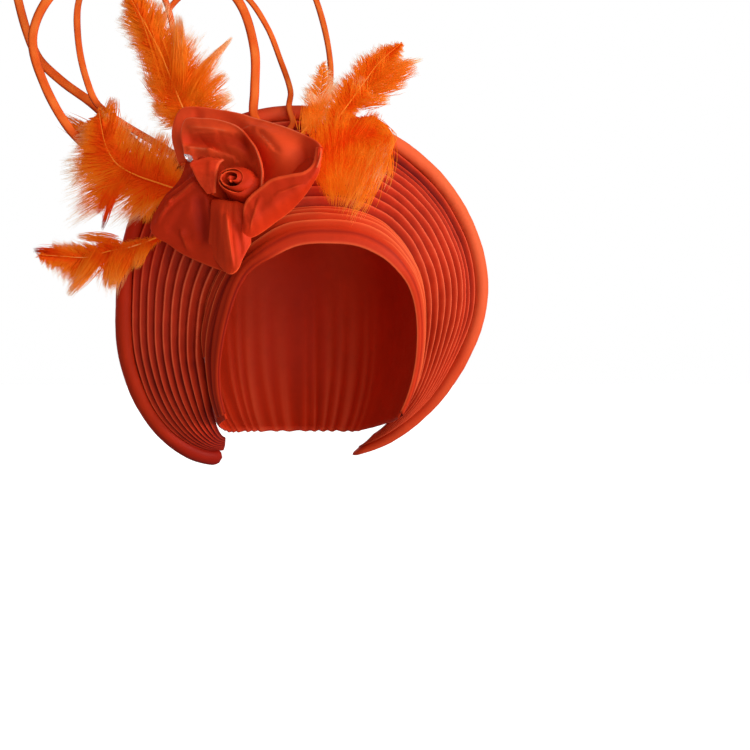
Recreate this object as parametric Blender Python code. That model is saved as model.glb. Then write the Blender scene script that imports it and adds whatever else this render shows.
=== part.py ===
"""Ready-tied gele head tie with a round halo of pleats, a cloth rosette, feathers and tall loops.

Frame: metres, +Z up. The front faces -Y, so the viewer's left is -X.
The origin is the highest point inside the crown.
"""

import math

import bmesh
import bpy
from mathutils import Vector

MM = 0.001

# The hollow inside the cap: half sizes of a rounded egg about HOLLOW_CENTRE_Z
HOLLOW_HALF_WIDTH = 80 * MM
HOLLOW_FRONT = 93 * MM
HOLLOW_BACK = 98 * MM
HOLLOW_CROWN_HEIGHT = 85 * MM
HOLLOW_NECK_DEPTH = 112 * MM
HOLLOW_CENTRE_Z = -HOLLOW_CROWN_HEIGHT
HOLLOW_ROUNDNESS = 2.4

CLOTH_WALL = 2.0 * MM
PIECE_GAP = 0.45 * MM

# Where the cap ends: its front edge, by angle from the crown, and the line across the nape
FRONT_EDGE = [
    dict(angle=-140, depth=-26),
    dict(angle=-133, depth=-32),
    dict(angle=-111, depth=-49),
    dict(angle=-90, depth=-60),
    dict(angle=-65, depth=-70),
    dict(angle=-47, depth=-78),
    dict(angle=-24, depth=-81),
    dict(angle=0, depth=-82),
    dict(angle=28, depth=-81),
    dict(angle=43, depth=-79),
    dict(angle=60, depth=-74),
    dict(angle=74, depth=-66),
    dict(angle=94, depth=-53),
    dict(angle=110, depth=-45),
    dict(angle=130, depth=-35),
    dict(angle=140, depth=-28),
]
NAPE_Z = -172 * MM
NAPE_CORNER = 0.25
CAP_ROWS = 9
FRONT_STEPS = 22
NAPE_STEPS = 14

# The halo: its outer edge as a circle with small dents, and the seam where the pleats leave the cap
HALO_CENTRE_X = -5 * MM
HALO_CENTRE_Z = -71 * MM
HALO = [
    dict(angle=-162, radius=133, depth=49, seam_angle=-152, seam_depth=46),
    dict(angle=-148, radius=142, depth=34, seam_angle=-144, seam_depth=16),
    dict(angle=-132, radius=143, depth=22, seam_angle=-128, seam_depth=-18),
    dict(angle=-112, radius=140, depth=8, seam_angle=-110, seam_depth=-24),
    dict(angle=-90, radius=134, depth=0, seam_angle=-90, seam_depth=-35),
    dict(angle=-60, radius=136, depth=-4, seam_angle=-62, seam_depth=-56),
    dict(angle=-30, radius=137, depth=-7, seam_angle=-32, seam_depth=-62),
    dict(angle=0, radius=137, depth=-8, seam_angle=0, seam_depth=-63),
    dict(angle=30, radius=136, depth=-9, seam_angle=32, seam_depth=-63),
    dict(angle=60, radius=139, depth=-9, seam_angle=60, seam_depth=-60),
    dict(angle=88, radius=141, depth=-7, seam_angle=86, seam_depth=-44),
    dict(angle=110, radius=136.5, depth=3, seam_angle=106, seam_depth=-28),
    dict(angle=130, radius=133, depth=19, seam_angle=124, seam_depth=-16),
    dict(angle=148, radius=131, depth=36, seam_angle=140, seam_depth=12),
    dict(angle=162, radius=129, depth=49, seam_angle=150, seam_depth=34),
]
HALO_SECTIONS = 40
HALO_END_TRIM = 4
HALO_TURN_START = 110
HALO_TURN_END = 135
PLEAT_COUNT = 9
PLEAT_HEIGHT = 3.4 * MM
PLEAT_CREST_SHARE = 0.55
PLEAT_FULL_PITCH = 7 * MM
HALO_BOW = 3.0 * MM
PLEAT_TUCK = -0.15 * MM
SEAM_LIFT = 2.2 * MM

# The padded roll along the halo's edge
ROLL_WIDTH = 12 * MM
ROLL_THICKNESS = 11 * MM
ROLL_FORWARD = 1.6 * MM
ROLL_SIDES = 10

# The front band: how far from the cap's front edge (0) to the seam (1) each fold line runs
BAND_LINES = [
    dict(angle=-140, line_1=0.55, line_2=0.80, line_3=0.90),
    dict(angle=-110, line_1=0.62, line_2=0.86, line_3=0.94),
    dict(angle=-90, line_1=0.52, line_2=0.80, line_3=0.90),
    dict(angle=-45, line_1=0.34, line_2=0.62, line_3=0.85),
    dict(angle=0, line_1=0.26, line_2=0.50, line_3=0.76),
    dict(angle=40, line_1=0.34, line_2=0.50, line_3=0.72),
    dict(angle=90, line_1=0.40, line_2=0.62, line_3=0.82),
    dict(angle=140, line_1=0.45, line_2=0.68, line_3=0.85),
]
BAND_FOLDS = [
    dict(name="band_fold_1", lower=None, upper="line_1", start=-138, end=138, height=3.4),
    dict(name="band_fold_2", lower="line_1", upper="line_2", start=-112, end=134, height=4.2),
    dict(name="band_fold_3", lower="line_2", upper="line_3", start=-84, end=126, height=3.6),
    dict(name="band_fold_4", lower="line_3", upper=None, start=-96, end=112, height=3.0),
]
BAND_SECTIONS = 24
BAND_EDGE_THICKNESS = 1.2 * MM
BAND_FOLD_GAP = 0.8 * MM

# The rosette: its place on the halo, and the way it faces
ROSE_ANGLE = -33
ROSE_SHARE = 0.22
ROSE_FACING = (-0.35, -0.87, 0.35)

# The rolled heart: a cloth wall wound round itself
BUD_INNER_RADIUS = 3 * MM
BUD_OUTER_RADIUS = 14 * MM
BUD_TURNS = 2.25
BUD_END_ANGLE = 14
BUD_BASE = 0.6 * MM
BUD_OUTER_HEIGHT = 33 * MM
BUD_INNER_HEIGHT = 36 * MM
BUD_TOP_SHARE = 0.95
BUD_WAIST_SHARE = 0.6
BUD_STEPS = 26

# Petals around the heart: heights above the rosette's base at the heart and halfway out
PETAL_WALL = 1.7 * MM
PETAL_ROWS = 6
PETALS = [
    dict(name="petal_1", base=9, middle=8, sections=10),
    dict(name="petal_2", base=9, middle=8, sections=8),
    dict(name="petal_3", base=9, middle=9, sections=5),
    dict(name="petal_4", base=9, middle=14, sections=8),
    dict(name="petal_5", base=15, middle=16, sections=8),
    dict(name="petal_6", base=15, middle=16, sections=6),
    dict(name="petal_7", base=22, middle=26, sections=6),
]

# Each petal's outline: how far it reaches at an angle from the rosette's right, and its edge's height
PETAL_OUTLINES = {
    "petal_1": [
        dict(angle=15, reach=50, height=22),
        dict(angle=24, reach=56, height=26),
        dict(angle=37, reach=62, height=25),
        dict(angle=56, reach=57, height=18),
        dict(angle=76, reach=55, height=14),
        dict(angle=93, reach=59, height=13),
        dict(angle=113, reach=73, height=14),
        dict(angle=130, reach=85, height=14),
        dict(angle=139, reach=78, height=14),
    ],
    "petal_2": [
        dict(angle=-178, reach=51, height=6),
        dict(angle=-171, reach=61, height=5),
        dict(angle=-158, reach=70, height=4),
        dict(angle=-134, reach=61, height=4),
        dict(angle=-116, reach=59, height=5),
        dict(angle=-94, reach=61, height=6),
    ],
    "petal_3": [
        dict(angle=141, reach=58, height=11),
        dict(angle=153, reach=46, height=10),
        dict(angle=167, reach=45, height=10),
        dict(angle=180, reach=48, height=9),
    ],
    "petal_4": [
        dict(angle=-71, reach=39, height=18),
        dict(angle=-45, reach=38, height=20),
        dict(angle=-14, reach=43, height=21),
        dict(angle=-3, reach=49, height=21),
        dict(angle=13, reach=52, height=20),
    ],
    "petal_5": [
        dict(angle=61, reach=25, height=22),
        dict(angle=80, reach=33, height=30),
        dict(angle=98, reach=44, height=31),
        dict(angle=116, reach=55, height=30),
        dict(angle=131, reach=66, height=28),
        dict(angle=150, reach=51, height=27),
        dict(angle=160, reach=45, height=26),
    ],
    "petal_6": [
        dict(angle=-120, reach=30, height=15),
        dict(angle=-105, reach=50, height=14),
        dict(angle=-95, reach=63, height=14),
        dict(angle=-87, reach=59, height=15),
        dict(angle=-74, reach=38, height=17),
    ],
    "petal_7": [
        dict(angle=128, reach=23, height=29),
        dict(angle=145, reach=33, height=30),
        dict(angle=160, reach=39, height=30),
        dict(angle=176, reach=32, height=30),
        dict(angle=195, reach=22, height=29),
    ],
}

# The small clear drop, seated on a petal: angle and share of its reach
STONE_PETAL = "petal_5"
STONE_ANGLE = 152
STONE_SHARE = 0.9
STONE_LENGTH = 7.5 * MM
STONE_WIDTH = 5 * MM
STONE_CROWN = 1.2 * MM
STONE_PAVILION = 1.4 * MM
STONE_SIDES = 8
STONE_BACK_SHARE = 0.55
STONE_TABLE_SHARE = 0.6
STONE_TAPER = 0.45

# Feathers: places on the quill across, up and forward in the rosette's frame, the reach of the
# barbs to its left and right as it grows, and how far ahead of the quill their tips lie
QUILL_RADIUS = 1.2
QUILL_ROOT_HEIGHT = 4.3
QUILL_STEP = 0.05
BARB_LEAST = 3.6
FEATHER_STEPS = 26
LOCK_NOTCH = 0.72
LOCK_LEAN = 2.5
BARB_TURN_REACH = 10
FEATHERS = {
    "feather_1": [
        dict(across=-34, up=-14, forward=2, left=1.2, right=1.2, ahead=0),
        dict(across=-62, up=-25, forward=-6, left=3, right=2, ahead=0),
        dict(across=-83, up=-33, forward=-7, left=14, right=8, ahead=2),
        dict(across=-98, up=-37, forward=-5, left=31, right=12, ahead=4),
        dict(across=-113, up=-43, forward=-2, left=15, right=16, ahead=5),
        dict(across=-128, up=-44, forward=2, left=20, right=14, ahead=5),
        dict(across=-146, up=-45, forward=8, left=1.5, right=1.5, ahead=0),
    ],
    "feather_2": [
        dict(across=-34, up=6, forward=3, left=1.2, right=1.2, ahead=0),
        dict(across=-52, up=9, forward=0, left=10, right=9, ahead=0),
        dict(across=-66, up=14, forward=-1, left=33, right=27, ahead=0),
        dict(across=-82, up=19, forward=2, left=46, right=38, ahead=2),
        dict(across=-95, up=25, forward=8, left=50, right=36, ahead=4),
        dict(across=-103, up=37, forward=13, left=34, right=26, ahead=7),
        dict(across=-106, up=50, forward=20, left=22, right=12, ahead=5),
        dict(across=-108, up=62, forward=24, left=1.5, right=1.5, ahead=0),
    ],
    "feather_3": [
        dict(across=-24, up=31, forward=3, left=1.2, right=1.2, ahead=0),
        dict(across=-40, up=53, forward=2, left=3, right=3, ahead=0),
        dict(across=-50, up=68, forward=7, left=22, right=26, ahead=0),
        dict(across=-58, up=86, forward=17, left=23, right=34, ahead=3),
        dict(across=-66, up=104, forward=29, left=18, right=32, ahead=5),
        dict(across=-76, up=121, forward=42, left=17, right=22, ahead=6),
        dict(across=-90, up=143, forward=58, left=1.5, right=1.5, ahead=0),
    ],
    "feather_4": [
        dict(across=28, up=27, forward=1, left=1.2, right=1.2, ahead=0),
        dict(across=49, up=54, forward=-11, left=1.5, right=1.5, ahead=0),
        dict(across=64, up=77, forward=-12, left=19, right=10, ahead=0),
        dict(across=76, up=95, forward=-10, left=19, right=15, ahead=2),
        dict(across=88, up=112, forward=-8, left=17, right=20, ahead=3),
        dict(across=104, up=126, forward=-5, left=1.5, right=1.5, ahead=0),
    ],
    "feather_5": [
        dict(across=36, up=17.5, forward=1, left=1.2, right=1.2, ahead=0),
        dict(across=54, up=43, forward=-6, left=1.2, right=1.2, ahead=0),
        dict(across=69, up=63, forward=-7, left=1.2, right=1.2, ahead=0),
        dict(across=79, up=54, forward=-4, left=11, right=13, ahead=0),
        dict(across=80, up=35, forward=-1, left=20, right=24, ahead=2),
        dict(across=76, up=14, forward=0, left=20, right=26, ahead=4),
        dict(across=69, up=-8, forward=1, left=11, right=14, ahead=4),
    ],
    "feather_6": [
        dict(across=18, up=34, forward=1, left=1.2, right=1.2, ahead=0),
        dict(across=35, up=59, forward=-11, left=2, right=2, ahead=0),
        dict(across=42, up=78, forward=-19, left=11, right=11, ahead=2),
        dict(across=44, up=96, forward=-17, left=14, right=14, ahead=4),
        dict(across=46, up=116, forward=-12, left=1.5, right=1.5, ahead=0),
    ],
}

# Tall loops of stiffened strip: the halo angle where each leg crosses the roll, the angle where it
# ends on the pleats, and the strip's width there
LOOP_THICKNESS = 2.8 * MM
LOOP_STEP = 13.5 * MM
LOOP_LIFT = 0.8 * MM
LOOP_FLAT_SHARE = 0.64
LOOPS = {
    "loop_1": [
        dict(leg="left", rim=-49, end=-42, width=7.5),
        dict(leg="right", rim=4, end=-12, width=4),
    ],
    "loop_2": [
        dict(leg="left", rim=-55, end=-50, width=6.5),
        dict(leg="right", rim=-16, end=-22, width=7),
    ],
    "loop_3": [
        dict(leg="left", rim=-43, end=-37, width=5.5),
        dict(leg="right", rim=-28, end=-28, width=4),
    ],
    "loop_4": [
        dict(leg="left", rim=-36, end=-33, width=4),
        dict(leg="right", rim=-5, end=-17, width=4.5),
    ],
}

# A leg's places on the pleats, as shares of their width, and its place on the roll
LOOP_END_SHARE = 0.55
LOOP_MIDDLE_SHARE = 0.72
LOOP_OUTER_SHARE = 0.88
LOOP_ROLL_SHARE = 0.6

# The free run of each loop, from its left leg over the top to its right leg
LOOP_ROUTES = {
    "loop_1": [
        dict(x=-154, depth=2, z=64),
        dict(x=-179, depth=12, z=84),
        dict(x=-196, depth=14, z=102),
        dict(x=-209, depth=14, z=141),
        dict(x=-213, depth=14, z=175),
        dict(x=-196, depth=14, z=207),
        dict(x=-150, depth=14, z=228),
        dict(x=-96, depth=14, z=233),
        dict(x=-44, depth=14, z=221),
        dict(x=-8, depth=14, z=190),
        dict(x=11, depth=14, z=151),
        dict(x=19, depth=6, z=112),
        dict(x=15, depth=-13, z=80),
    ],
    "loop_2": [
        dict(x=-152, depth=-9, z=26),
        dict(x=-176, depth=-11, z=48),
        dict(x=-195, depth=-16, z=82),
        dict(x=-201, depth=-18, z=110),
        dict(x=-190, depth=-18, z=137),
        dict(x=-164, depth=-18, z=161),
        dict(x=-123, depth=-18, z=173),
        dict(x=-84, depth=-18, z=166),
        dict(x=-54, depth=-18, z=142),
        dict(x=-42, depth=-18, z=108),
        dict(x=-42, depth=-20, z=76),
    ],
    "loop_3": [
        dict(x=-152, depth=-9, z=62),
        dict(x=-162, depth=-7, z=82),
        dict(x=-168, depth=-6, z=112),
        dict(x=-167, depth=-6, z=140),
        dict(x=-155, depth=-6, z=159),
        dict(x=-136, depth=-6, z=165),
        dict(x=-116, depth=-6, z=158),
        dict(x=-104, depth=-6, z=139),
        dict(x=-98, depth=-8, z=112),
        dict(x=-90, depth=-12, z=80),
    ],
    "loop_4": [
        dict(x=-101, depth=-6, z=74),
        dict(x=-109, depth=2, z=104),
        dict(x=-105, depth=4, z=130),
        dict(x=-90, depth=4, z=149),
        dict(x=-66, depth=4, z=160),
        dict(x=-44, depth=4, z=149),
        dict(x=-28, depth=4, z=127),
        dict(x=-19, depth=2, z=104),
        dict(x=-14, depth=-13, z=78),
    ],
}


def smooth_through(keys, values, where):
    """Value at a place on a smooth curve through keyed values, which may be vectors."""
    last = len(keys) - 1
    index = 0
    while index < last - 1 and keys[index + 1] < where:
        index += 1
    before = max(index - 1, 0)
    after = min(index + 2, last)
    span = keys[index + 1] - keys[index]
    slope_low = (values[index + 1] - values[before]) * (span / (keys[index + 1] - keys[before]))
    slope_high = (values[after] - values[index]) * (span / (keys[after] - keys[index]))
    t = min(max((where - keys[index]) / span, 0.0), 1.0)
    return (
        values[index] * (2 * t**3 - 3 * t**2 + 1)
        + slope_low * (t**3 - 2 * t**2 + t)
        + values[index + 1] * (3 * t**2 - 2 * t**3)
        + slope_high * (t**3 - t**2)
    )


def smooth_value(rows, column, key, where):
    """Value of a named column of a short table, on a smooth curve through its rows."""
    return smooth_through([row[key] for row in rows], [row[column] for row in rows], where)


def direction_at(keys, values, where, step):
    """Direction of a smooth curve through keyed points."""
    ahead = smooth_through(keys, values, where + step)
    return (ahead - smooth_through(keys, values, where - step)).normalized()


def steps(start, end, count):
    """Evenly spaced values from start to end, both included."""
    return [start + (end - start) * index / (count - 1) for index in range(count)]


def cloth(name, colour, roughness=0.6):
    """A plain dyed cloth, feather or stone finish."""
    material = bpy.data.materials.new(name)
    material.use_nodes = True
    shader = material.node_tree.nodes["Principled BSDF"]
    shader.inputs["Base Color"].default_value = (*colour, 1.0)
    shader.inputs["Roughness"].default_value = roughness
    shader.inputs["Metallic"].default_value = 0.0
    return material


def add_piece(name, shape, material):
    """Turns a closed bmesh into a named object with one material."""
    bmesh.ops.recalc_face_normals(shape, faces=shape.faces)
    mesh = bpy.data.meshes.new(name)
    shape.to_mesh(mesh)
    shape.free()
    mesh.materials.append(material)
    mesh.shade_smooth()
    mesh.set_sharp_from_angle(angle=math.radians(40))
    piece = bpy.data.objects.new(name, mesh)
    bpy.context.scene.collection.objects.link(piece)
    return piece


def loft(rings):
    """One closed body through rings of equal count, with flat ends."""
    shape = bmesh.new()
    layers = [[shape.verts.new(point) for point in ring] for ring in rings]
    count = len(layers[0])
    for near, far in zip(layers, layers[1:]):
        for index in range(count):
            follow = (index + 1) % count
            shape.faces.new((near[index], near[follow], far[follow], far[index]))
    shape.faces.new(layers[0])
    shape.faces.new(layers[-1])
    bmesh.ops.triangulate(shape, faces=shape.faces)
    return shape


def egg_axes(lift):
    """Half sizes of the cap's outer face, enlarged by lift."""
    grow = CLOTH_WALL + lift
    return (
        HOLLOW_HALF_WIDTH + grow,
        HOLLOW_FRONT + grow,
        HOLLOW_BACK + grow,
        HOLLOW_CROWN_HEIGHT + grow,
        HOLLOW_NECK_DEPTH + grow,
    )


def on_cap(angle, depth, lift):
    """Point above the cap's outer face, by angle from the crown and depth along Y."""
    side, front, back, up, down = egg_axes(lift)
    turn = math.radians(angle)
    along = front if depth < 0 else back
    height = up if math.cos(turn) > 0 else down
    left = 1 - abs(depth / along) ** HOLLOW_ROUNDNESS
    across = abs(math.sin(turn) / side) ** HOLLOW_ROUNDNESS
    across += abs(math.cos(turn) / height) ** HOLLOW_ROUNDNESS
    radius = (left / across) ** (1 / HOLLOW_ROUNDNESS)
    return Vector((radius * math.sin(turn), depth, HOLLOW_CENTRE_Z + radius * math.cos(turn)))


def signed_power(value, exponent):
    return math.copysign(abs(value) ** exponent, value)


def egg_point(around, down_angle, lift):
    """Point of the cap's egg, by the angle around Z and the angle down from the crown."""
    side, front, back, up, down = egg_axes(lift)
    power = 2 / HOLLOW_ROUNDNESS
    spread = signed_power(math.sin(down_angle), power)
    depth = back if math.sin(around) > 0 else front
    height = up if math.cos(down_angle) > 0 else down
    return Vector((
        side * spread * signed_power(math.cos(around), power),
        depth * spread * signed_power(math.sin(around), power),
        HOLLOW_CENTRE_Z + height * signed_power(math.cos(down_angle), power),
    ))


def egg_angles(point):
    """The two egg angles of a point on the cap's outer face."""
    side, front, back, up, down = egg_axes(0)
    power = HOLLOW_ROUNDNESS / 2
    rise = point.z - HOLLOW_CENTRE_Z
    height = up if rise > 0 else down
    depth = back if point.y > 0 else front
    down_angle = math.acos(signed_power(rise / height, power))
    across = signed_power(point.x / side, power)
    along = signed_power(point.y / depth, power)
    return math.atan2(along, across), down_angle


def front_edge_depth(angle):
    return smooth_value(FRONT_EDGE, "depth", "angle", angle) * MM


def cap_outline():
    """The cap's whole edge as egg angles: over the front from side to side, then across the nape."""
    first = FRONT_EDGE[0]["angle"]
    last = FRONT_EDGE[-1]["angle"]
    outline = []
    for angle in steps(first, last, FRONT_STEPS):
        outline.append(egg_angles(on_cap(angle, front_edge_depth(angle), 0)))
    start = outline[-1]
    end = outline[0]
    nape_rise = (NAPE_Z - HOLLOW_CENTRE_Z) / HOLLOW_NECK_DEPTH
    nape_drop = math.acos(signed_power(nape_rise, HOLLOW_ROUNDNESS / 2))
    for index in range(1, NAPE_STEPS):
        t = index / NAPE_STEPS
        around = start[0] + (end[0] + 2 * math.pi - start[0]) * t
        edge_drop = start[1] + (end[1] - start[1]) * t
        blend = min(1.0, min(t, 1 - t) / NAPE_CORNER)
        outline.append((around, edge_drop + (nape_drop - edge_drop) * blend))
    return outline


def make_crown_cap(material):
    """Cloth cap, an open shell from the front edge over the crown to the nape."""
    shape = bmesh.new()
    outline = cap_outline()
    walls = []
    for lift in (0, -CLOTH_WALL):
        pole = shape.verts.new(egg_point(0, 0, lift))
        rows = []
        for row in range(1, CAP_ROWS + 1):
            share = row / CAP_ROWS
            ring = [egg_point(around, drop * share, lift) for around, drop in outline]
            rows.append([shape.verts.new(point) for point in ring])
        count = len(outline)
        for index in range(count):
            follow = (index + 1) % count
            shape.faces.new((pole, rows[0][index], rows[0][follow]))
            for near, far in zip(rows, rows[1:]):
                shape.faces.new((near[index], far[index], far[follow], near[follow]))
        walls.append(rows[-1])
    outer, inner = walls
    for index in range(len(outer)):
        follow = (index + 1) % len(outer)
        shape.faces.new((outer[index], inner[index], inner[follow], outer[follow]))
    bmesh.ops.triangulate(shape, faces=shape.faces)
    return add_piece("crown_cap", shape, material)


def halo_value(column, angle):
    return smooth_value(HALO, column, "angle", angle)


def halo_edge(angle):
    """Outermost point of the halo at an angle from the top."""
    turn = math.radians(angle)
    radius = halo_value("radius", angle) * MM
    depth = halo_value("depth", angle) * MM
    return Vector((HALO_CENTRE_X + radius * math.sin(turn), depth, HALO_CENTRE_Z + radius * math.cos(turn)))


def halo_seam(angle):
    """Where the pleats leave the cap."""
    return on_cap(halo_value("seam_angle", angle), halo_value("seam_depth", angle) * MM, SEAM_LIFT)


def halo_section(angle):
    """Start, outward direction, forward normal and full width of the halo's section.

    Towards the halo's lower ends the wall turns to face straight ahead.
    """
    seam = halo_seam(angle)
    edge = halo_edge(angle)
    outward = (edge - seam).normalized()
    step = 1.0
    ahead = halo_seam(angle + step) + halo_edge(angle + step)
    behind = halo_seam(angle - step) + halo_edge(angle - step)
    around = (ahead - behind).normalized()
    forward = outward.cross(around).normalized()
    if forward.y > 0:
        forward.negate()
    turned = (abs(angle) - HALO_TURN_START) / (HALO_TURN_END - HALO_TURN_START)
    ahead = Vector((0, -1, 0))
    ahead = (ahead - outward * ahead.dot(outward)).normalized()
    forward = forward.lerp(ahead, min(max(turned, 0.0), 1.0)).normalized()
    return seam, outward, forward, (edge - seam).length


def halo_point(angle, share, height):
    """Point at a share of the pleated width, raised forward from its base line."""
    seam, outward, forward, width = halo_section(angle)
    sheet = width - ROLL_WIDTH + PLEAT_TUCK
    bow = HALO_BOW * math.sin(math.pi * share)
    return seam + outward * (sheet * share) + forward * (height + bow)


def pleat_profile():
    """Zigzag of the pleats: share of the width and height, valley first."""
    profile = [(0.0, 0.0)]
    for pleat in range(PLEAT_COUNT):
        profile.append(((pleat + PLEAT_CREST_SHARE) / PLEAT_COUNT, PLEAT_HEIGHT))
        profile.append(((pleat + 1) / PLEAT_COUNT, 0.0))
    return profile


def halo_angles():
    return steps(HALO[0]["angle"] + HALO_END_TRIM, HALO[-1]["angle"] - HALO_END_TRIM, HALO_SECTIONS)


def make_pleated_fan(material):
    """The halo's cloth wall, folded into concentric pleats."""
    profile = pleat_profile()
    rings = []
    for angle in halo_angles():
        pitch = (halo_section(angle)[3] - ROLL_WIDTH) / PLEAT_COUNT
        depth = min(1, pitch / PLEAT_FULL_PITCH)
        front = [halo_point(angle, share, height * depth) for share, height in profile]
        back = [halo_point(angle, share, height * depth - CLOTH_WALL) for share, height in reversed(profile)]
        rings.append(front + back)
    return add_piece("pleated_fan", loft(rings), material)


def make_rim_roll(material):
    """Padded roll along the halo's outer edge."""
    rings = []
    for angle in halo_angles():
        seam, outward, forward, width = halo_section(angle)
        centre = seam + outward * (width - ROLL_WIDTH / 2) + forward * ROLL_FORWARD
        ring = []
        for side in range(ROLL_SIDES):
            turn = 2 * math.pi * side / ROLL_SIDES
            ring.append(
                centre
                + outward * (ROLL_WIDTH / 2 * math.cos(turn))
                + forward * (ROLL_THICKNESS / 2 * math.sin(turn))
            )
        rings.append(ring)
    return add_piece("rim_roll", loft(rings), material)


def seam_depth_at(cap_angle):
    """Depth of the halo's seam by the cap's own angle."""
    return smooth_value(HALO, "seam_depth", "seam_angle", cap_angle) * MM


def make_band_fold(fold, material):
    """One rounded fold of the wrapped band, lying on the cap."""
    rings = []
    for angle in steps(fold["start"], fold["end"], BAND_SECTIONS):
        edge = front_edge_depth(angle)
        width = seam_depth_at(angle) - PIECE_GAP * 2 - edge
        lower = 0.0
        if fold["lower"]:
            lower = smooth_value(BAND_LINES, fold["lower"], "angle", angle)
        upper = 1.0
        if fold["upper"]:
            upper = smooth_value(BAND_LINES, fold["upper"], "angle", angle)
        low = edge + width * lower + BAND_FOLD_GAP / 2
        high = edge + width * upper - BAND_FOLD_GAP / 2
        edge_lift = BAND_EDGE_THICKNESS
        crest = fold["height"] * MM
        section = [(0, 0), (0.5, 0), (1, 0), (1, edge_lift), (0.7, crest), (0.3, crest), (0, edge_lift)]
        rings.append([
            on_cap(angle, low + (high - low) * share, PIECE_GAP + lift) for share, lift in section
        ])
    return add_piece(fold["name"], loft(rings), material)


def rose_frame():
    """The rosette's base point and its directions across, up and forward."""
    forward = Vector(ROSE_FACING).normalized()
    across = Vector((0, 0, 1)).cross(forward).normalized()
    up = forward.cross(across)
    return halo_point(ROSE_ANGLE, ROSE_SHARE, PLEAT_HEIGHT), across, up, forward


def rose_point(across, up, forward):
    """Point in the rosette's frame."""
    base, right, top, front = rose_frame()
    return base + right * across + top * up + front * forward


def rose_polar(angle, reach, height):
    """Point in the rosette's frame, by angle from its right and reach from its middle."""
    turn = math.radians(angle)
    return rose_point(reach * math.cos(turn), reach * math.sin(turn), height)


def bud_radius(share):
    """Middle radius of the rolled wall, from its inner end (0) to its outer end (1)."""
    return BUD_INNER_RADIUS + (BUD_OUTER_RADIUS - CLOTH_WALL / 2 - BUD_INNER_RADIUS) * share


def bud_reach(angle):
    """Outer radius of the heart in a direction."""
    turned = (BUD_END_ANGLE - angle) % 360
    return bud_radius(1 - turned / 360 / BUD_TURNS) + CLOTH_WALL / 2


def make_rose_bud(material):
    """The rosette's heart, a cloth wall rolled up on itself and narrower at its top."""
    rings = []
    for share in steps(0, 1, BUD_STEPS):
        angle = BUD_END_ANGLE - 360 * BUD_TURNS * (1 - share)
        middle = bud_radius(share)
        inside = middle - CLOTH_WALL / 2
        outside = middle + CLOTH_WALL / 2
        top = BUD_INNER_HEIGHT + (BUD_OUTER_HEIGHT - BUD_INNER_HEIGHT) * share
        waist = BUD_BASE + (top - BUD_BASE) * BUD_WAIST_SHARE
        rings.append([
            rose_polar(angle, inside, BUD_BASE),
            rose_polar(angle, outside, BUD_BASE),
            rose_polar(angle, outside, waist),
            rose_polar(angle, outside * BUD_TOP_SHARE, top),
            rose_polar(angle, inside * BUD_TOP_SHARE, top),
            rose_polar(angle, inside, waist),
        ])
    return add_piece("rose_bud", loft(rings), material)


def petal_surface(petal, angle, share):
    """Point of a petal's front face at an angle and a share of its reach."""
    outline = PETAL_OUTLINES[petal["name"]]
    inner = bud_reach(angle) + PIECE_GAP
    reach = smooth_value(outline, "reach", "angle", angle) * MM
    edge = smooth_value(outline, "height", "angle", angle)
    height = smooth_through([0, 0.5, 1], [petal["base"], petal["middle"], edge], share) * MM
    return rose_polar(angle, inner + (reach - inner) * share, height)


def make_petal(petal, material):
    """One cloth petal, a curved wall from the heart to its outline."""
    outline = PETAL_OUTLINES[petal["name"]]
    back_step = rose_frame()[3] * -PETAL_WALL
    rings = []
    for angle in steps(outline[0]["angle"], outline[-1]["angle"], petal["sections"]):
        front = [petal_surface(petal, angle, share) for share in steps(0, 1, PETAL_ROWS)]
        rings.append(front + [point + back_step for point in reversed(front)])
    return add_piece(petal["name"], loft(rings), material)


def make_stone_drop(material):
    """Clear drop-shaped stone with a table, a girdle and a flat back."""
    petal = next(row for row in PETALS if row["name"] == STONE_PETAL)
    seat = petal_surface(petal, STONE_ANGLE, STONE_SHARE)
    along = (petal_surface(petal, STONE_ANGLE, STONE_SHARE + 0.05) - seat).normalized()
    beside = (petal_surface(petal, STONE_ANGLE + 2, STONE_SHARE) - seat).normalized()
    facing = along.cross(beside).normalized()
    if facing.dot(rose_frame()[3]) < 0:
        facing.negate()
    beside = facing.cross(along)
    rings = []
    back = (STONE_BACK_SHARE, 0)
    girdle = (1, STONE_PAVILION)
    table = (STONE_TABLE_SHARE, STONE_PAVILION + STONE_CROWN)
    for size, height in (back, girdle, table):
        ring = []
        for side in range(STONE_SIDES):
            turn = 2 * math.pi * (side + 0.5) / STONE_SIDES
            narrow = (1 - STONE_TAPER * math.cos(turn)) / 2
            ring.append(
                seat
                + along * (STONE_LENGTH / 2 * size * math.cos(turn))
                + beside * (STONE_WIDTH * size * narrow * math.sin(turn))
                + facing * (PIECE_GAP + height)
            )
        rings.append(ring)
    return add_piece("stone_drop", loft(rings), material)


def feather_value(rows, column, place):
    return smooth_through(range(len(rows)), [row[column] for row in rows], place)


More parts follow.
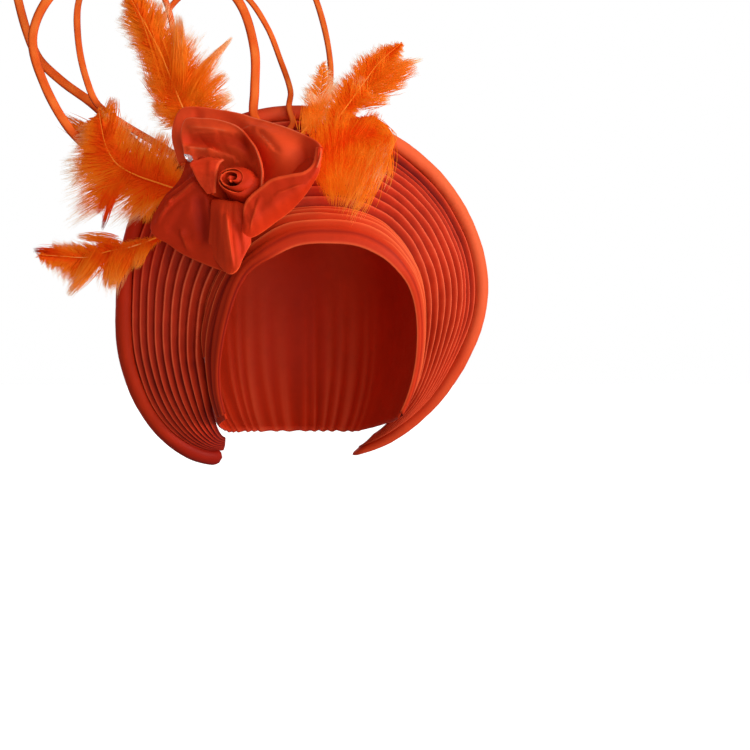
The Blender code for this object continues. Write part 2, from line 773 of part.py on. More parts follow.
def make_feather(name, rows, material):
    """A quill with a thin vane on either side, notched into locks."""
    front = rose_frame()[3]
    places = [rose_point(row["across"] * MM, row["up"] * MM, row["forward"] * MM) for row in rows]
    angle = math.degrees(math.atan2(rows[0]["up"], rows[0]["across"]))
    root = rose_polar(angle, bud_reach(angle) + PIECE_GAP, QUILL_ROOT_HEIGHT * MM)
    bare = dict(left=QUILL_RADIUS, right=QUILL_RADIUS, ahead=0)
    growth = (places[-1] - places[1]).normalized()
    right = growth.cross(front).normalized()
    rows = [bare] + rows
    places = [root] + places
    rings = []
    stations = range(len(rows))
    for index in range(FEATHER_STEPS):
        place = (len(rows) - 1) * index / (FEATHER_STEPS - 1)
        middle = smooth_through(stations, places, place)
        beside = direction_at(stations, places, place, QUILL_STEP).cross(front).normalized()
        lock = index % 2 == 0
        edges = []
        for side, column in ((-1, "left"), (1, "right")):
            reach = max(feather_value(rows, column, place), QUILL_RADIUS)
            ahead = feather_value(rows, "ahead", place)
            if reach > BARB_LEAST:
                reach *= 1 if lock else LOCK_NOTCH
                ahead += LOCK_LEAN if lock else 0
            barbs = beside.lerp(right, min(reach / BARB_TURN_REACH, 1)).normalized()
            edges.append(middle + barbs * (side * reach * MM) + growth * (ahead * MM))
        quill = QUILL_RADIUS * MM
        rings.append([
            edges[0],
            middle - beside * (quill / 2) + front * quill,
            middle + beside * (quill / 2) + front * quill,
            edges[1],
            middle + beside * (quill / 2) - front * quill,
            middle - beside * (quill / 2) - front * quill,
        ])
    return add_piece(name, loft(rings), material)


def loop_leg(leg):
    """A loop's leg from its end on the pleats to the halo's roll, with facings."""
    lying = PLEAT_HEIGHT + PIECE_GAP + LOOP_THICKNESS / 2
    middle = (leg["rim"] + leg["end"]) / 2
    points = []
    on_pleats = ((leg["end"], LOOP_END_SHARE), (middle, LOOP_MIDDLE_SHARE), (leg["rim"], LOOP_OUTER_SHARE))
    for angle, share in on_pleats:
        points.append((halo_point(angle, share, lying), halo_section(angle)[2]))
    seam, outward, forward, width = halo_section(leg["rim"])
    on_roll = ROLL_FORWARD + ROLL_THICKNESS / 2 + LOOP_LIFT + LOOP_THICKNESS / 2
    points.append((seam + outward * (width - ROLL_WIDTH * LOOP_ROLL_SHARE) + forward * on_roll, forward))
    return points


def strip_ring(middle, across, facing, width):
    """Section of a strip: pointed edges and flat faces."""
    flat = LOOP_FLAT_SHARE
    ring = []
    for side, lift in ((1, 0), (flat, 1), (-flat, 1), (-1, 0), (-flat, -1), (flat, -1)):
        ring.append(middle + across * (side * width / 2) + facing * (lift * LOOP_THICKNESS / 2))
    return ring


def make_loop(name, legs, material):
    """A tall loop of stiffened strip, both legs laid over the roll onto the pleats."""
    left, right = legs
    ahead = Vector((0, -1, 0))
    route = loop_leg(left)
    for row in LOOP_ROUTES[name]:
        route.append((Vector((row["x"], row["depth"], row["z"])) * MM, ahead))
    route += reversed(loop_leg(right))
    places = [0.0]
    for (start, _), (end, _) in zip(route, route[1:]):
        places.append(places[-1] + (end - start).length)
    points = [point for point, _ in route]
    facings = [facing for _, facing in route]
    rings = []
    for share in steps(0, 1, round(places[-1] / LOOP_STEP)):
        place = places[-1] * share
        middle = smooth_through(places, points, place)
        tangent = direction_at(places, points, place, LOOP_STEP / 4)
        across = tangent.cross(smooth_through(places, facings, place)).normalized()
        width = (left["width"] + (right["width"] - left["width"]) * share) * MM
        rings.append(strip_ring(middle, across, across.cross(tangent), width))
    return add_piece(name, loft(rings), material)


def clear_scene():
    for item in list(bpy.data.objects):
        bpy.data.objects.remove(item, do_unlink=True)


def build():
    clear_scene()
    halo_cloth = cloth("halo_cloth", (0.55, 0.030, 0.008))
    roll_cloth = cloth("roll_cloth", (0.70, 0.060, 0.015))
    make_crown_cap(halo_cloth)
    make_pleated_fan(halo_cloth)
    make_rim_roll(roll_cloth)
    for fold in BAND_FOLDS:
        make_band_fold(fold, roll_cloth)
    petal_cloth = cloth("petal_cloth", (0.60, 0.045, 0.010))
    make_rose_bud(petal_cloth)
    for petal in PETALS:
        make_petal(petal, petal_cloth)
    strip_cloth = cloth("strip_cloth", (0.78, 0.13, 0.03))
    for name, legs in LOOPS.items():
        make_loop(name, legs, strip_cloth)
    plume = cloth("dyed_feather", (0.80, 0.12, 0.01), 0.8)
    for name, rows in FEATHERS.items():
        make_feather(name, rows, plume)
    make_stone_drop(cloth("clear_stone", (0.85, 0.87, 0.90), 0.1))


build()
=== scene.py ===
"""Dressed model of a ready-tied gele: pleated halo, wrapped band, cloth rosette, feathers and tall loops.

The front faces -Y, so the viewer's left is -X. Shapes are worked out in millimetres, like the tables
below, and turned to the frame's metres where a mesh is laid out.
"""
import math
import random
from functools import lru_cache

import bmesh
import bpy
import numpy as np
from mathutils import Euler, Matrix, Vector, noise


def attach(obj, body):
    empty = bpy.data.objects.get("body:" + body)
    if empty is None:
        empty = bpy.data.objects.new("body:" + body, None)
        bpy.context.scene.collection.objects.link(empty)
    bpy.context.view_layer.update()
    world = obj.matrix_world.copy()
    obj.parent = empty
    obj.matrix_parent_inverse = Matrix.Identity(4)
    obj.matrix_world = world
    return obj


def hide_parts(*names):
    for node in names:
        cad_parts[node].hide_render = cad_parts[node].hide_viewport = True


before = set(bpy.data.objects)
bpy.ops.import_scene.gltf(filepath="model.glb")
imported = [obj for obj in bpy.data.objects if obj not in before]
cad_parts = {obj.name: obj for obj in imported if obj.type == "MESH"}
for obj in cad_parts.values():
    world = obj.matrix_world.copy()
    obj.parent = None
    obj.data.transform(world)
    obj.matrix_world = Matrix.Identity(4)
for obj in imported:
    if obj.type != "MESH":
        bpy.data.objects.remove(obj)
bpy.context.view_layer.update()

MM = 0.001
# Points closer than this are merged
MERGE_DISTANCE = 0.002


def table(columns, *rows):
    """Rows of a table as dictionaries, under the names of its columns."""
    return [dict(zip(columns.split(), row)) for row in rows]


def tables(columns, rows_by_name):
    """Several tables with the same columns, by name."""
    return {name: table(columns, *rows) for name, rows in rows_by_name.items()}


# The cap's egg and its edge, as in the part's source
HOLLOW = dict(side=80, front=93, back=98, up=85, down=112)
HOLLOW_CENTRE_Z = -85
HOLLOW_ROUNDNESS = 2.4
CLOTH_WALL = 2.0
PIECE_GAP = 0.45
FRONT_EDGE = table(
    "angle depth",
    (-140, -26), (-133, -32), (-111, -49), (-90, -60), (-65, -70), (-47, -78), (-24, -81), (0, -82),
    (28, -81), (43, -79), (60, -74), (74, -66), (94, -53), (110, -45), (130, -35), (140, -28),
)
NAPE_Z = -172
NAPE_CORNER = 0.25
# The cap's gathers at the nape: how many and how high. Then the height of its soft folds and dents, how far
# its cloth lies below the source's outer face, and the step before its hem
CAP_GATHERS = 46
CAP_GATHER_HEIGHT = 1.0
CAP_FOLD_HEIGHT = 0.9
CAP_DENTS = 0.25
CAP_SINK = 0.35
CAP_HEM_STEP = 0.35
CAP_FRONT_STEPS = 110
CAP_NAPE_STEPS = 151
CAP_ROWS = 46
CAP_WALL = 1.4

# The halo's outer edge and seam, as in the part's source, and how deep its outer pleats sink
HALO_CENTRE = (-5, -71)
HALO = table(
    "angle radius depth seam_angle seam_depth sink",
    (-162, 133, 49, -152, 46, 0),
    (-148, 142, 34, -144, 16, 0),
    (-132, 143, 22, -128, -18, 0),
    (-112, 140, 8, -110, -24, 0),
    (-90, 134, 0, -90, -35, 0),
    (-60, 136, -4, -62, -56, 0),
    (-30, 137, -7, -32, -62, 1.0),
    (0, 137, -8, 0, -63, 2.6),
    (30, 136, -9, 32, -63, 4.0),
    (60, 139, -9, 60, -60, 4.0),
    (88, 141, -7, 86, -44, 2.2),
    (110, 136.5, 3, 106, -28, 1.0),
    (130, 133, 19, 124, -16, 0),
    (148, 131, 36, 140, 12, 0),
    (162, 129, 49, 150, 34, 0),
)
HALO_END_TRIM = 4
HALO_TURN_START = 110
HALO_TURN_END = 135
HALO_BOW = 3.0
SEAM_LIFT = 2.2
PLEAT_COUNT = 9
PLEAT_HEIGHT = 3.4
PLEAT_FULL_PITCH = 7
PLEAT_TUCK = 0.9
FAN_COLUMNS = 290
FAN_CREST = 4.0
FAN_BACK = 1.9
FAN_DENTS = 0.10
# How unevenly a pleat runs, as a share of its width, and how unevenly high it is
FAN_WANDER = 0.05
FAN_UNEVEN = 0.16
# How much lower and softer the pleats are on the viewer's left, and how far their inner foot is tucked
# into the cap's wall low on that side
FAN_SOFT_SIDE = 0.34
FAN_TUCK = 1.5
# Painted shade on the halo's cloth, on the scale from a groove's 0 to a crease's 1: in the sunken outer
# pleats, at the upper right and low on the viewer's left
FAN_PAINTED_SHADES = dict(sunken=0.07, upper_right=0.10, low_left=0.12, lowest_left=0.34)

# One pleat from its inner foot: a rising flank, a narrow crease and a shorter fall into its groove
# Its fold column paints shade into the groove and a highlight on the crease
PLEAT_SHAPE = table(
    "across height fold",
    (0.00, 0.00, 0.18), (0.09, 0.10, 0.26), (0.21, 0.36, 0.38), (0.33, 0.62, 0.48), (0.44, 0.84, 0.58),
    (0.53, 0.97, 0.76), (0.60, 1.02, 1.00), (0.66, 0.96, 0.80), (0.73, 0.74, 0.46), (0.81, 0.42, 0.30),
    (0.90, 0.12, 0.18),
)
# The pleats from behind, painted in shade where they recede
PLEAT_BACK_SHAPE = table(
    "across height fold",
    (0.00, 0.05, 0.70), (0.25, 0.30, 0.50), (0.55, 0.62, 0.10), (0.80, 0.30, 0.50),
)

# The padded roll, and the length at each of its ends over which it is rounded off
ROLL_LENGTH = 650
ROLL_WIDTH = 12
ROLL_THICKNESS = 11
ROLL_FORWARD = 1.6
ROLL_COLUMNS = 340
ROLL_SIDES = 28
ROLL_END = 7
# How much the roll swells and dents, and how deep its seam is drawn in, as shares of its thickness
ROLL_SWELL = 0.05
ROLL_DENTS = 0.030
ROLL_SEAM = 0.10
# How much painted light its cloth gets to the right, and how much painted shade at its low ends
ROLL_PAINTED_LIGHTS = dict(right=0.20, upper_right=0.24)
ROLL_PAINTED_SHADES = dict(low_right=0.10, low_left=0.42)

# The band: how far from the cap's front edge (0) to the seam (1) each fold line runs
BAND_LINES = table(
    "angle line_1 line_2 line_3",
    (-140, 0.55, 0.80, 0.90), (-110, 0.62, 0.86, 0.94), (-90, 0.52, 0.80, 0.90), (-45, 0.34, 0.62, 0.85),
    (0, 0.26, 0.50, 0.76), (40, 0.34, 0.50, 0.72), (90, 0.40, 0.62, 0.82), (140, 0.45, 0.68, 0.85),
)
BAND_FOLDS = table(
    "name lower upper start end height",
    ("band_fold_1", None, "line_1", -138, 138, 2.6),
    ("band_fold_2", "line_1", "line_2", -112, 134, 3.4),
    ("band_fold_3", "line_2", "line_3", -84, 126, 3.2),
    ("band_fold_4", "line_3", None, -96, 112, 2.8),
)
BAND_COLUMNS = 220
BAND_OVERLAP = 1.0
BAND_TUCK = 0.5
BAND_TAPER = 12
BAND_SEAM_GAP = 0.4
BAND_ROWS = 30
# How far a fold's edge wavers and its face is pulled, in millimetres, and how unevenly high it is
BAND_WAVER = 0.5
BAND_PULL = 0.14
BAND_UNEVEN = 0.12
# The first fold's swell by the face and its hollow on the viewer's left, in millimetres
BAND_SWELL = 0.9
BAND_HOLLOW = 1.0
# Painted shade on the band's cloth on the viewer's left: over its folds, in the first fold's hollow and on
# its hem
BAND_PAINTED_SHADES = dict(side=0.12, hollow=0.30, hem=0.50)

# A fold's section from its tucked edge over its rising face to the raised outer edge, and back below
# Its fold column paints shade by the tucked edge and under the raised edge, and a highlight along that edge
BAND_TOP = table(
    "share rise fold",
    (0.00, 0.10, 0.05), (0.08, 0.14, 0.20), (0.20, 0.24, 0.42), (0.35, 0.40, 0.50), (0.50, 0.55, 0.52),
    (0.65, 0.70, 0.54), (0.78, 0.85, 0.58), (0.88, 0.98, 0.75), (0.94, 1.04, 1.00), (0.98, 1.00, 1.00),
    (1.00, 0.86, 0.60), (1.00, 0.68, 0.20), (0.97, 0.54, 0.00),
)
# Under the raised edge the cloth is painted in full shade
BAND_UNDER = table(
    "share rise fold",
    (0.90, 0.42, 0.00), (0.70, 0.20, 0.00), (0.45, 0.05, 0.00), (0.20, 0.00, 0.00),
)
# The first fold is turned in round the cap's front edge: places before the edge, heights, and how light it is
# painted, in shade inside the turn and with a highlight round it
BAND_HEM = table(
    "past lift fold",
    (0.30, 0.05, 0.10), (-0.45, -0.30, 0.10), (-0.45, -2.10, 0.10), (-0.70, -2.40, 0.20),
    (-1.00, -2.30, 0.70), (-1.10, -1.90, 0.70), (-1.05, -1.00, 0.46), (-0.85, -0.10, 0.46),
    (-0.25, 0.35, 0.48),
)

# Narrow creases that run slantwise over the band's folds: from and to an angle and a share of the fold
BAND_CREASES = tables("start end rise", {
    "band_fold_1": [((-112, 0.80), (-62, 0.46), 0.30), ((36, 0.56), (88, 0.84), 0.30)],
    "band_fold_2": [((-100, 0.76), (-48, 0.30), 0.40), ((18, 0.26), (78, 0.74), 0.40)],
    "band_fold_3": [((26, 0.28), (88, 0.70), 0.35)],
    "band_fold_4": [],
})
CREASE_WIDTH = 0.035

# The rosette
ROSE_ANGLE = -33
ROSE_SHARE = 0.22
ROSE_FACING = (-0.35, -0.87, 0.35)

# Petals as ribs from the heart outwards: places across, up and forward in the rosette's frame, and
# how far the middle of a rib stands forward. A petal's open face lies between its throat and its body's end
PETAL_WALL = 1.2
PETAL_COLUMNS = 96
PETAL_ROWS = 60
PETAL_THROAT = 0.26
PETAL_BODY = 0.88
PETAL_ROLL_TURN = 190
PETAL_GATHERS = 0.45
PETAL_DENTS = 0.14
PETALS = tables("inner outer belly", {
    "petal_1": [
        ((-38, 24, 16), (-50, 24, 12), 0),
        ((-40, 32, 17), (-56, 42, 13), 0),
        ((-40, 39, 18), (-56, 55, 14), -1),
        ((-37, 45, 18), (-51, 66, 15), -2),
        ((-31, 46, 17), (-39, 67, 16), -2),
        ((-22, 45, 16), (-26, 65, 16), -2),
        ((-10, 41, 13), (-9, 61, 17), -1),
        ((1, 32, 11), (4, 56, 18), 5),
        ((7, 24, 10), (14, 52, 20), 8),
        ((12, 16, 9), (33, 43, 24), 10),
        ((16, 8, 9), (53, 30, 29), 4),
        ((24, 3, 10), (56, 18, 33), -4),
        ((34, 2, 14), (54, 9, 33), -4),
    ],
    "petal_5": [
        ((-26, 20, 18), (-43, 22, 22), 0),
        ((-25, 22, 19), (-44, 29, 24), -1),
        ((-23, 24, 19), (-46, 39, 27), 1),
        ((-20, 25, 19), (-43, 50, 29), 4),
        ((-15, 25, 19), (-32, 50, 30), 6),
        ((-9, 24, 19), (-19, 48, 31), 6),
        ((-4, 23, 19), (-5, 42, 32), 4),
        ((2, 20, 19), (5, 31, 33), 0),
        ((7, 14, 19), (11, 21, 33), -1),
        ((10, 6, 20), (15, 8, 32), 0),
        ((11, -3, 21), (15, -4, 29), 0),
    ],
    "petal_4": [
        ((3, -28, 24), (0, -38, 16), 1),
        ((4, -23, 28), (6, -37, 15), 2),
        ((6, -17, 30), (12, -34, 14), 4),
        ((10, -12, 31), (18, -29, 13), 5),
        ((17, -6, 32), (25, -23, 13), 6),
        ((24, -1, 33), (33, -17, 14), 6),
        ((36, 2, 33), (41, -10, 17), 5),
        ((46, 4, 33), (49, -2, 23), 3),
        ((52, 11, 33), (56, 8, 30), 1),
        ((53, 25, 32), (56, 24, 32), 0),
    ],
    "petal_2": [
        ((-31, 4, 22), (-60, -8, 11), 0),
        ((-29, -2, 21), (-65, -14, 9), 2),
        ((-27, -7, 20), (-67, -24, 8), 3),
        ((-25, -14, 17), (-63, -31, 7), 1),
        ((-22, -22, 15), (-54, -36, 7), -1),
        ((-17, -30, 15), (-43, -44, 7), 0),
        ((-12, -38, 15), (-25, -53, 8), 1),
        ((-6, -46, 15), (-8, -60, 9), 0),
    ],
    "petal_3": [
        ((-28, 24, 21), (-44, 30, 13), 0),
        ((-30, 18, 21), (-46, 18, 12), 1),
        ((-31, 11, 21), (-50, 9, 11), 2),
        ((-31, 4, 21), (-58, 0, 10), 1),
        ((-32, -2, 20), (-63, -9, 9), 0),
    ],
    "petal_6": [
        ((-21, -9, 20), (-23, -38, 13), 0),
        ((-17, -10, 22), (-18, -50, 12), 1),
        ((-12, -11, 23), (-12, -58, 13), 2),
        ((-7, -12, 23), (-6, -63, 14), 2),
        ((-3, -12, 23), (0, -60, 15), 3),
        ((1, -13, 22), (4, -50, 15), 2),
        ((5, -13, 21), (8, -40, 14), 0),
    ],
    "petal_7": [
        ((-14, 19, 27), (-24, 20, 29), 0),
        ((-17, 15, 28), (-36, 15, 31), 0),
        ((-18, 9, 28), (-34, 9, 31), 0),
        ((-18, 3, 28), (-31, 3, 31), 0),
        ((-18, -2, 28), (-28, -2, 30), 0),
        ((-18, -7, 27), (-23, -8, 27), 0),
    ],
})
# The radius that a petal's edge is rolled back by, and the petals whose inner edge is a free fold
PETAL_ROLLS = dict(
    petal_1=1.1, petal_2=1.2, petal_3=1.0, petal_4=1.0, petal_5=0.9, petal_6=1.1, petal_7=0.8,
)
FOLDED_PETALS = ("petal_4", "petal_7")
# How light each petal's cloth is painted, from a groove's 0 to a crease's 1: painted light on petals that
# face the light, painted shade on those turned away
PETAL_PAINTED_LIGHT = dict(
    petal_1=0.78, petal_2=0.43, petal_3=0.42, petal_4=0.48, petal_5=0.74, petal_6=0.54, petal_7=0.55,
)
PETAL_FOOT_RADIUS = 11
PETAL_FOOT_HEIGHT = 6
FOLD_DEPTH = 3.4

# Folds pressed into the petals: ridges and grooves between two places across and up. A fold with an
# edge of 1 or -1 falls away suddenly to the right or left of its run, like a lapped layer
PETAL_FOLDS = tables("start end height width edge", {
    "petal_1": [
        ((2, 48), (26, 42), 2.0, 9, 0),
        ((10, 40), (23, 25), -1.8, 2.6, 1),
        ((-40, 46), (-38, 66), -1.5, 4, 0),
        ((14, 44), (25, 20), 3.4, 11, 0),
        ((47, 32), (43, 9), -4.4, 8, 0),
        ((46, 30), (47, 15), 1.4, 2.2, 0),
        ((-30, 50), (6, 46), 1.0, 3, -1),
    ],
    "petal_5": [
        ((-42, 44), (-8, 38), 1.5, 5, 1),
        ((-43, 36), (0, 32), -3.2, 5.0, 0),
        ((-44, 31), (-24, 28), 2.8, 4.4, -1),
        ((-24, 28), (-9, 23), 2.8, 4.4, -1),
        ((1, 31), (5, 22), -2.6, 4, 0),
        ((-38, 40), (-20, 38), 0.7, 1.4, 1),
    ],
    "petal_4": [
        ((8, -32), (40, -8), 1.0, 5, 0),
        ((14, -14), (8, -34), 0.8, 2.2, 1),
        ((26, -10), (44, -3), 0.6, 1.8, -1),
    ],
    "petal_2": [
        ((-33, 3), (-52, -10), 2.8, 5.0, -1),
        ((-52, -10), (-61, -21), 2.2, 5.0, -1),
        ((-30, -10), (-27, -33), -3.4, 5, 0),
        ((-44, -30), (-37, -45), 1.8, 3, 1),
        ((-40, -12), (-50, -26), -1.0, 4, 0),
    ],
    "petal_3": [((-34, 14), (-56, 2), -1.8, 3, 0), ((-38, 8), (-58, -3), 1.4, 2.4, 1)],
    "petal_6": [
        ((-14, -20), (-9, -52), 1.4, 3.0, 0),
        ((-8, -24), (-3, -58), 2.6, 3.4, -1),
        ((-2, -30), (3, -50), -2.2, 2.6, 0),
    ],
    "petal_7": [((-22, 16), (-22, -3), 0.6, 2.4, 0)],
})
FOLD_DROP = 3.2

# The rolled heart
BUD_TURNS = 2.25
BUD_END_ANGLE = 14
BUD_INNER_RADIUS = 3
BUD_OUTER_RADIUS = 14
BUD_HEIGHT = 34
BUD_CENTRE = (0, 1.5)
BUD_SHIFT = (-5.5, -0.5)
BUD_COLLAR = 0.84
BUD_WOUND = 2.75
BUD_WINDING = ((0, 0.20, 0.46, 0.84, 1.0), (1.4, 4.6, 9.6, 12.9, 13.9))
BUD_CLOTH = 1.0
BUD_COLUMNS = 190
BUD_ROWS = 44

# Tall loops, as in the part's source
LOOP_THICKNESS = 2.8
LOOP_LIFT = 0.8
LOOPS = tables("rim end width", {
    "loop_1": [(-49, -42, 7.5), (4, -12, 4)],
    "loop_2": [(-55, -50, 6.5), (-16, -22, 7)],
    "loop_3": [(-43, -37, 5.5), (-28, -28, 4)],
    "loop_4": [(-36, -33, 4), (-5, -17, 4.5)],
})
LOOP_END_SHARE = 0.55
LOOP_MIDDLE_SHARE = 0.72
LOOP_OUTER_SHARE = 0.88
LOOP_ROLL_SHARE = 0.6
LOOP_SIDES = 20
LOOP_STEP = 3.5
LOOP_END = 3
LOOP_NEAR = 3
LOOP_HOLLOW = 0.16
LOOP_DENTS = 0.18
LOOP_ROUTES = tables("x depth z", {
    "loop_1": [
        (-154, 2, 64), (-179, 12, 84), (-196, 14, 102), (-209, 14, 141), (-213, 14, 175), (-196, 14, 207),
        (-150, 14, 228), (-96, 14, 233), (-44, 14, 221), (-8, 14, 190), (11, 14, 151), (19, 6, 112),
        (15, -13, 80),
    ],
    "loop_2": [
        (-152, -9, 26), (-176, -11, 48), (-195, -16, 82), (-201, -18, 110), (-190, -18, 137),
        (-164, -18, 161), (-123, -18, 173), (-84, -18, 166), (-54, -18, 142), (-42, -18, 108),
        (-42, -20, 76),
    ],
    "loop_3": [
        (-152, -9, 62), (-162, -7, 82), (-168, -6, 112), (-167, -6, 140), (-155, -6, 159), (-136, -6, 165),
        (-116, -6, 158), (-104, -6, 139), (-98, -8, 112), (-90, -12, 80),
    ],
    "loop_4": [
        (-101, -6, 74), (-109, 2, 104), (-105, 4, 130), (-90, 4, 149), (-66, 4, 160), (-44, 4, 149),
        (-28, 4, 127), (-19, 2, 104), (-14, -13, 78),
    ],
})

# Feathers: places on the quill, the reach of the barbs to its left and right and how far their tips run
# ahead, as in the part's source
QUILL_ROOT_HEIGHT = 4.3
FEATHERS = tables("across up forward left right ahead", {
    "feather_1": [
        (-34, -14, 2, 1.2, 1.2, 0),
        (-62, -25, -6, 3, 2, 0),
        (-83, -33, -7, 14, 8, 2),
        (-98, -37, -5, 31, 12, 4),
        (-113, -43, -2, 15, 16, 5),
        (-128, -44, 2, 20, 14, 5),
        (-146, -45, 8, 1.5, 1.5, 0),
    ],
    "feather_2": [
        (-34, 6, 3, 1.2, 1.2, 0),
        (-52, 9, 0, 10, 9, 0),
        (-66, 14, -1, 33, 27, 0),
        (-82, 19, 2, 46, 38, 2),
        (-95, 25, 8, 50, 36, 4),
        (-103, 37, 13, 34, 26, 7),
        (-106, 50, 20, 22, 12, 5),
        (-108, 62, 24, 1.5, 1.5, 0),
    ],
    "feather_3": [
        (-24, 31, 3, 1.2, 1.2, 0),
        (-40, 53, 2, 3, 3, 0),
        (-50, 68, 7, 22, 26, 0),
        (-58, 86, 17, 23, 34, 3),
        (-66, 104, 29, 18, 32, 5),
        (-76, 121, 42, 17, 22, 6),
        (-90, 143, 58, 1.5, 1.5, 0),
    ],
    "feather_4": [
        (28, 27, 1, 1.2, 1.2, 0),
        (49, 54, -11, 1.5, 1.5, 0),
        (64, 77, -12, 19, 10, 0),
        (76, 95, -10, 19, 15, 2),
        (88, 112, -8, 17, 20, 3),
        (104, 126, -5, 1.5, 1.5, 0),
    ],
    "feather_6": [
        (18, 34, 1, 1.2, 1.2, 0),
        (35, 59, -11, 2, 2, 0),
        (42, 78, -19, 11, 11, 2),
        (44, 96, -17, 14, 14, 4),
        (46, 116, -12, 1.5, 1.5, 0),
    ],
})

# How each plume is set with barbs: barbs a side, how far a barb leans along the quill as a share of its
# reach, how much it droops, how ragged its edge is and how much lighter it is drawn, partly its dye and
# partly painted light
PLUMES = {
    "feather_1": dict(barbs=850, lean=0.55, droop=0.10, ragged=0.26, bright=-0.02),
    "feather_2": dict(barbs=1200, lean=0.42, droop=0.08, ragged=0.24, bright=-0.03),
    "feather_3": dict(barbs=1150, lean=0.62, droop=0.00, ragged=0.30, bright=0.08),
    "feather_4": dict(barbs=950, lean=0.60, droop=0.02, ragged=0.14, bright=0.06),
    "feather_6": dict(barbs=210, lean=0.55, droop=0.05, ragged=0.60, bright=0.36),
}

# Gaps in a vane: the side of the quill, the place along it as a share, how wide and how deep
VANE_GAPS = tables("side place wide deep", {
    "feather_1": [(-1, 0.66, 0.035, 0.55), (-1, 0.88, 0.05, 0.45)],
    "feather_2": [
        (-1, 0.50, 0.055, 0.62), (-1, 0.74, 0.09, 0.30), (-1, 0.86, 0.035, 0.30), (1, 0.93, 0.05, 0.50),
    ],
    "feather_3": [(1, 0.80, 0.05, 0.40), (1, 0.58, 0.03, 0.15), (-1, 0.62, 0.03, 0.25)],
    "feather_4": [(-1, 0.84, 0.04, 0.30), (1, 0.66, 0.04, 0.35)],
    "feather_6": [],
})

# Locks that stand out of a plume's outline: where each leaves the vane and where it ends, across, up and
# forward in the rosette's frame, its width at either end, how far it bows aside, how many strands it has
# and the shade of its tip
LOCKS = tables("start end wide narrow bow strands tip", {
    "feather_1": [
        ((-108, -44, 0), (-123, -72, 1), 8, 3.0, -2, 150, 1.0),
        ((-88, -40, -3), (-94, -66, -2), 9, 4.5, 1, 190, 0.75),
        ((-72, -33, -5), (-78, -50, -5), 6, 3.0, 1, 90, 0.8),
        ((-128, -42, 3), (-149, -41, 8), 4, 2.0, 1, 110, 0.0),
        ((-98, -30, -4), (-122, -26, -2), 5, 2.0, 2, 70, 0.85),
    ],
    "feather_2": [
        ((-104, 42, 14), (-136, 59, 16), 8, 4.0, -3, 190, 0.7),
        ((-104, 48, 17), (-99, 71, 22), 8, 3.5, 2, 140, 0.6),
        ((-101, 30, 10), (-122, 34, 10), 9, 5.0, 2, 110, 0.8),
        ((-96, 22, 8), (-116, 12, 8), 8, 5.0, 2, 90, 0.85),
        ((-92, 16, 5), (-106, -11, 6), 8, 2.5, 2, 130, 0.3),
        ((-96, 4, 5), (-102, -24, 6), 4, 1.2, 1, 50, 0.0),
        ((-70, 8, -1), (-72, -17, 0), 7, 5.0, -1, 120, 0.7),
        ((-112, 30, 8), (-126, 8, 8), 9, 7.0, -2, 34, 1.3),
        ((-68, 40, 0), (-64, 54, 2), 9, 6.0, 0, 60, 1.3),
        ((-108, 26, 8), (-136, 22, 9), 12, 12.0, 1, 46, 1.3),
    ],
    "feather_3": [
        ((-68, 92, 22), (-84, 138, 50), 8, 5.0, 2, 230, 0.85),
        ((-54, 88, 20), (-52, 126, 38), 8, 3.5, 1, 190, 0.80),
        ((-42, 84, 14), (-17, 118, 20), 9, 0.9, -5, 120, 0.9),
        ((-38, 78, 10), (-20, 94, 12), 9, 6.0, -2, 120, 0.8),
        ((-34, 70, 6), (-16, 80, 7), 9, 6.0, -1, 110, 0.9),
        ((-34, 60, 4), (-16, 68, 4), 8, 5.0, -1, 90, 0.8),
        ((-66, 78, 14), (-80, 92, 16), 7, 3.0, 2, 90, 0.9),
        ((-62, 66, 8), (-74, 74, 8), 6, 2.5, 1, 80, 0.9),
    ],
    "feather_4": [
        ((88, 98, -10), (93, 124, -8), 9, 8.0, 1, 170, 0.6),
        ((90, 98, -9), (114, 108, -6), 10, 8.0, -2, 190, 0.6),
        ((86, 92, -10), (108, 96, -8), 8, 6.0, 0, 130, 0.7),
        ((78, 82, -11), (96, 84, -10), 8, 6.0, -1, 120, 0.7),
        ((74, 84, -11), (74, 102, -10), 8, 6.0, -1, 90, 0.8),
        ((98, 106, -8), (119, 112, -5), 4, 1.5, -2, 30, 1.2),
    ],
    "feather_5": [
        ((52, 44, -3), (47, 68, -5), 10, 8.0, 0, 120, 0.5),
        ((64, 48, -3), (66, 74, -6), 10, 8.0, 0, 130, 0.5),
        ((78, 50, -2), (88, 70, -5), 10, 6.0, 1, 120, 0.5),
        ((86, 50, -1), (98, 48, 0), 9, 6.0, 2, 80, 0.6),
        ((94, 44, 0), (98, 12, 5), 8, 7.0, -3, 40, 0.72),
        ((84, 22, 1), (80, -12, 6), 10, 9.0, -2, 40, 0.72),
        ((96, 40, 1), (92, 2, 7), 7, 8.0, -3, 26, 0.80),
        ((90, 20, 2), (78, -17, 7), 9, 10.0, -2, 26, 0.80),
    ],
    "feather_6": [
        ((42, 82, -18), (34, 98, -18), 6, 5.0, 1, 60, 1.0),
        ((46, 84, -18), (56, 102, -16), 6, 5.0, 1, 60, 0.9),
        ((38, 64, -13), (36, 84, -16), 7, 6.0, 0, 120, 0.1),
    ],
})

# Barbs are laid in layers: matted ones by the quill, loose ones over the whole vane, and a pale down
BARB_LAYERS = table(
    "share reach width waver shade parted",
    (0.16, 0.62, 1.9, 0.5, 0.36, 1.0),
    (1.0, 0.90, 0.46, 1.1, 0.72, 1.0),
    (0.55, 1.10, 0.24, 2.8, 1.10, 0.5),
)
BARB_STEPS = 4
BARB_SIDES = 3
BARB_TAPER = ((0, 0.2, 0.65, 1), (0.6, 1.0, 0.9, 0.1))
# How far apart a vane's locks are, and the shade of a barb where it leaves the quill
LOCK_SPACING = 5.0
BARB_SHADE = 0.19
LOCK_SHADE = 0.28
QUILL_STEPS = 48
QUILL_SIDES = 6
QUILL_WIDTH = 1.5
QUILL_SHADE = 0.68
QUILL_AHEAD = 2.0
SHORTEST_BARB = 1.2

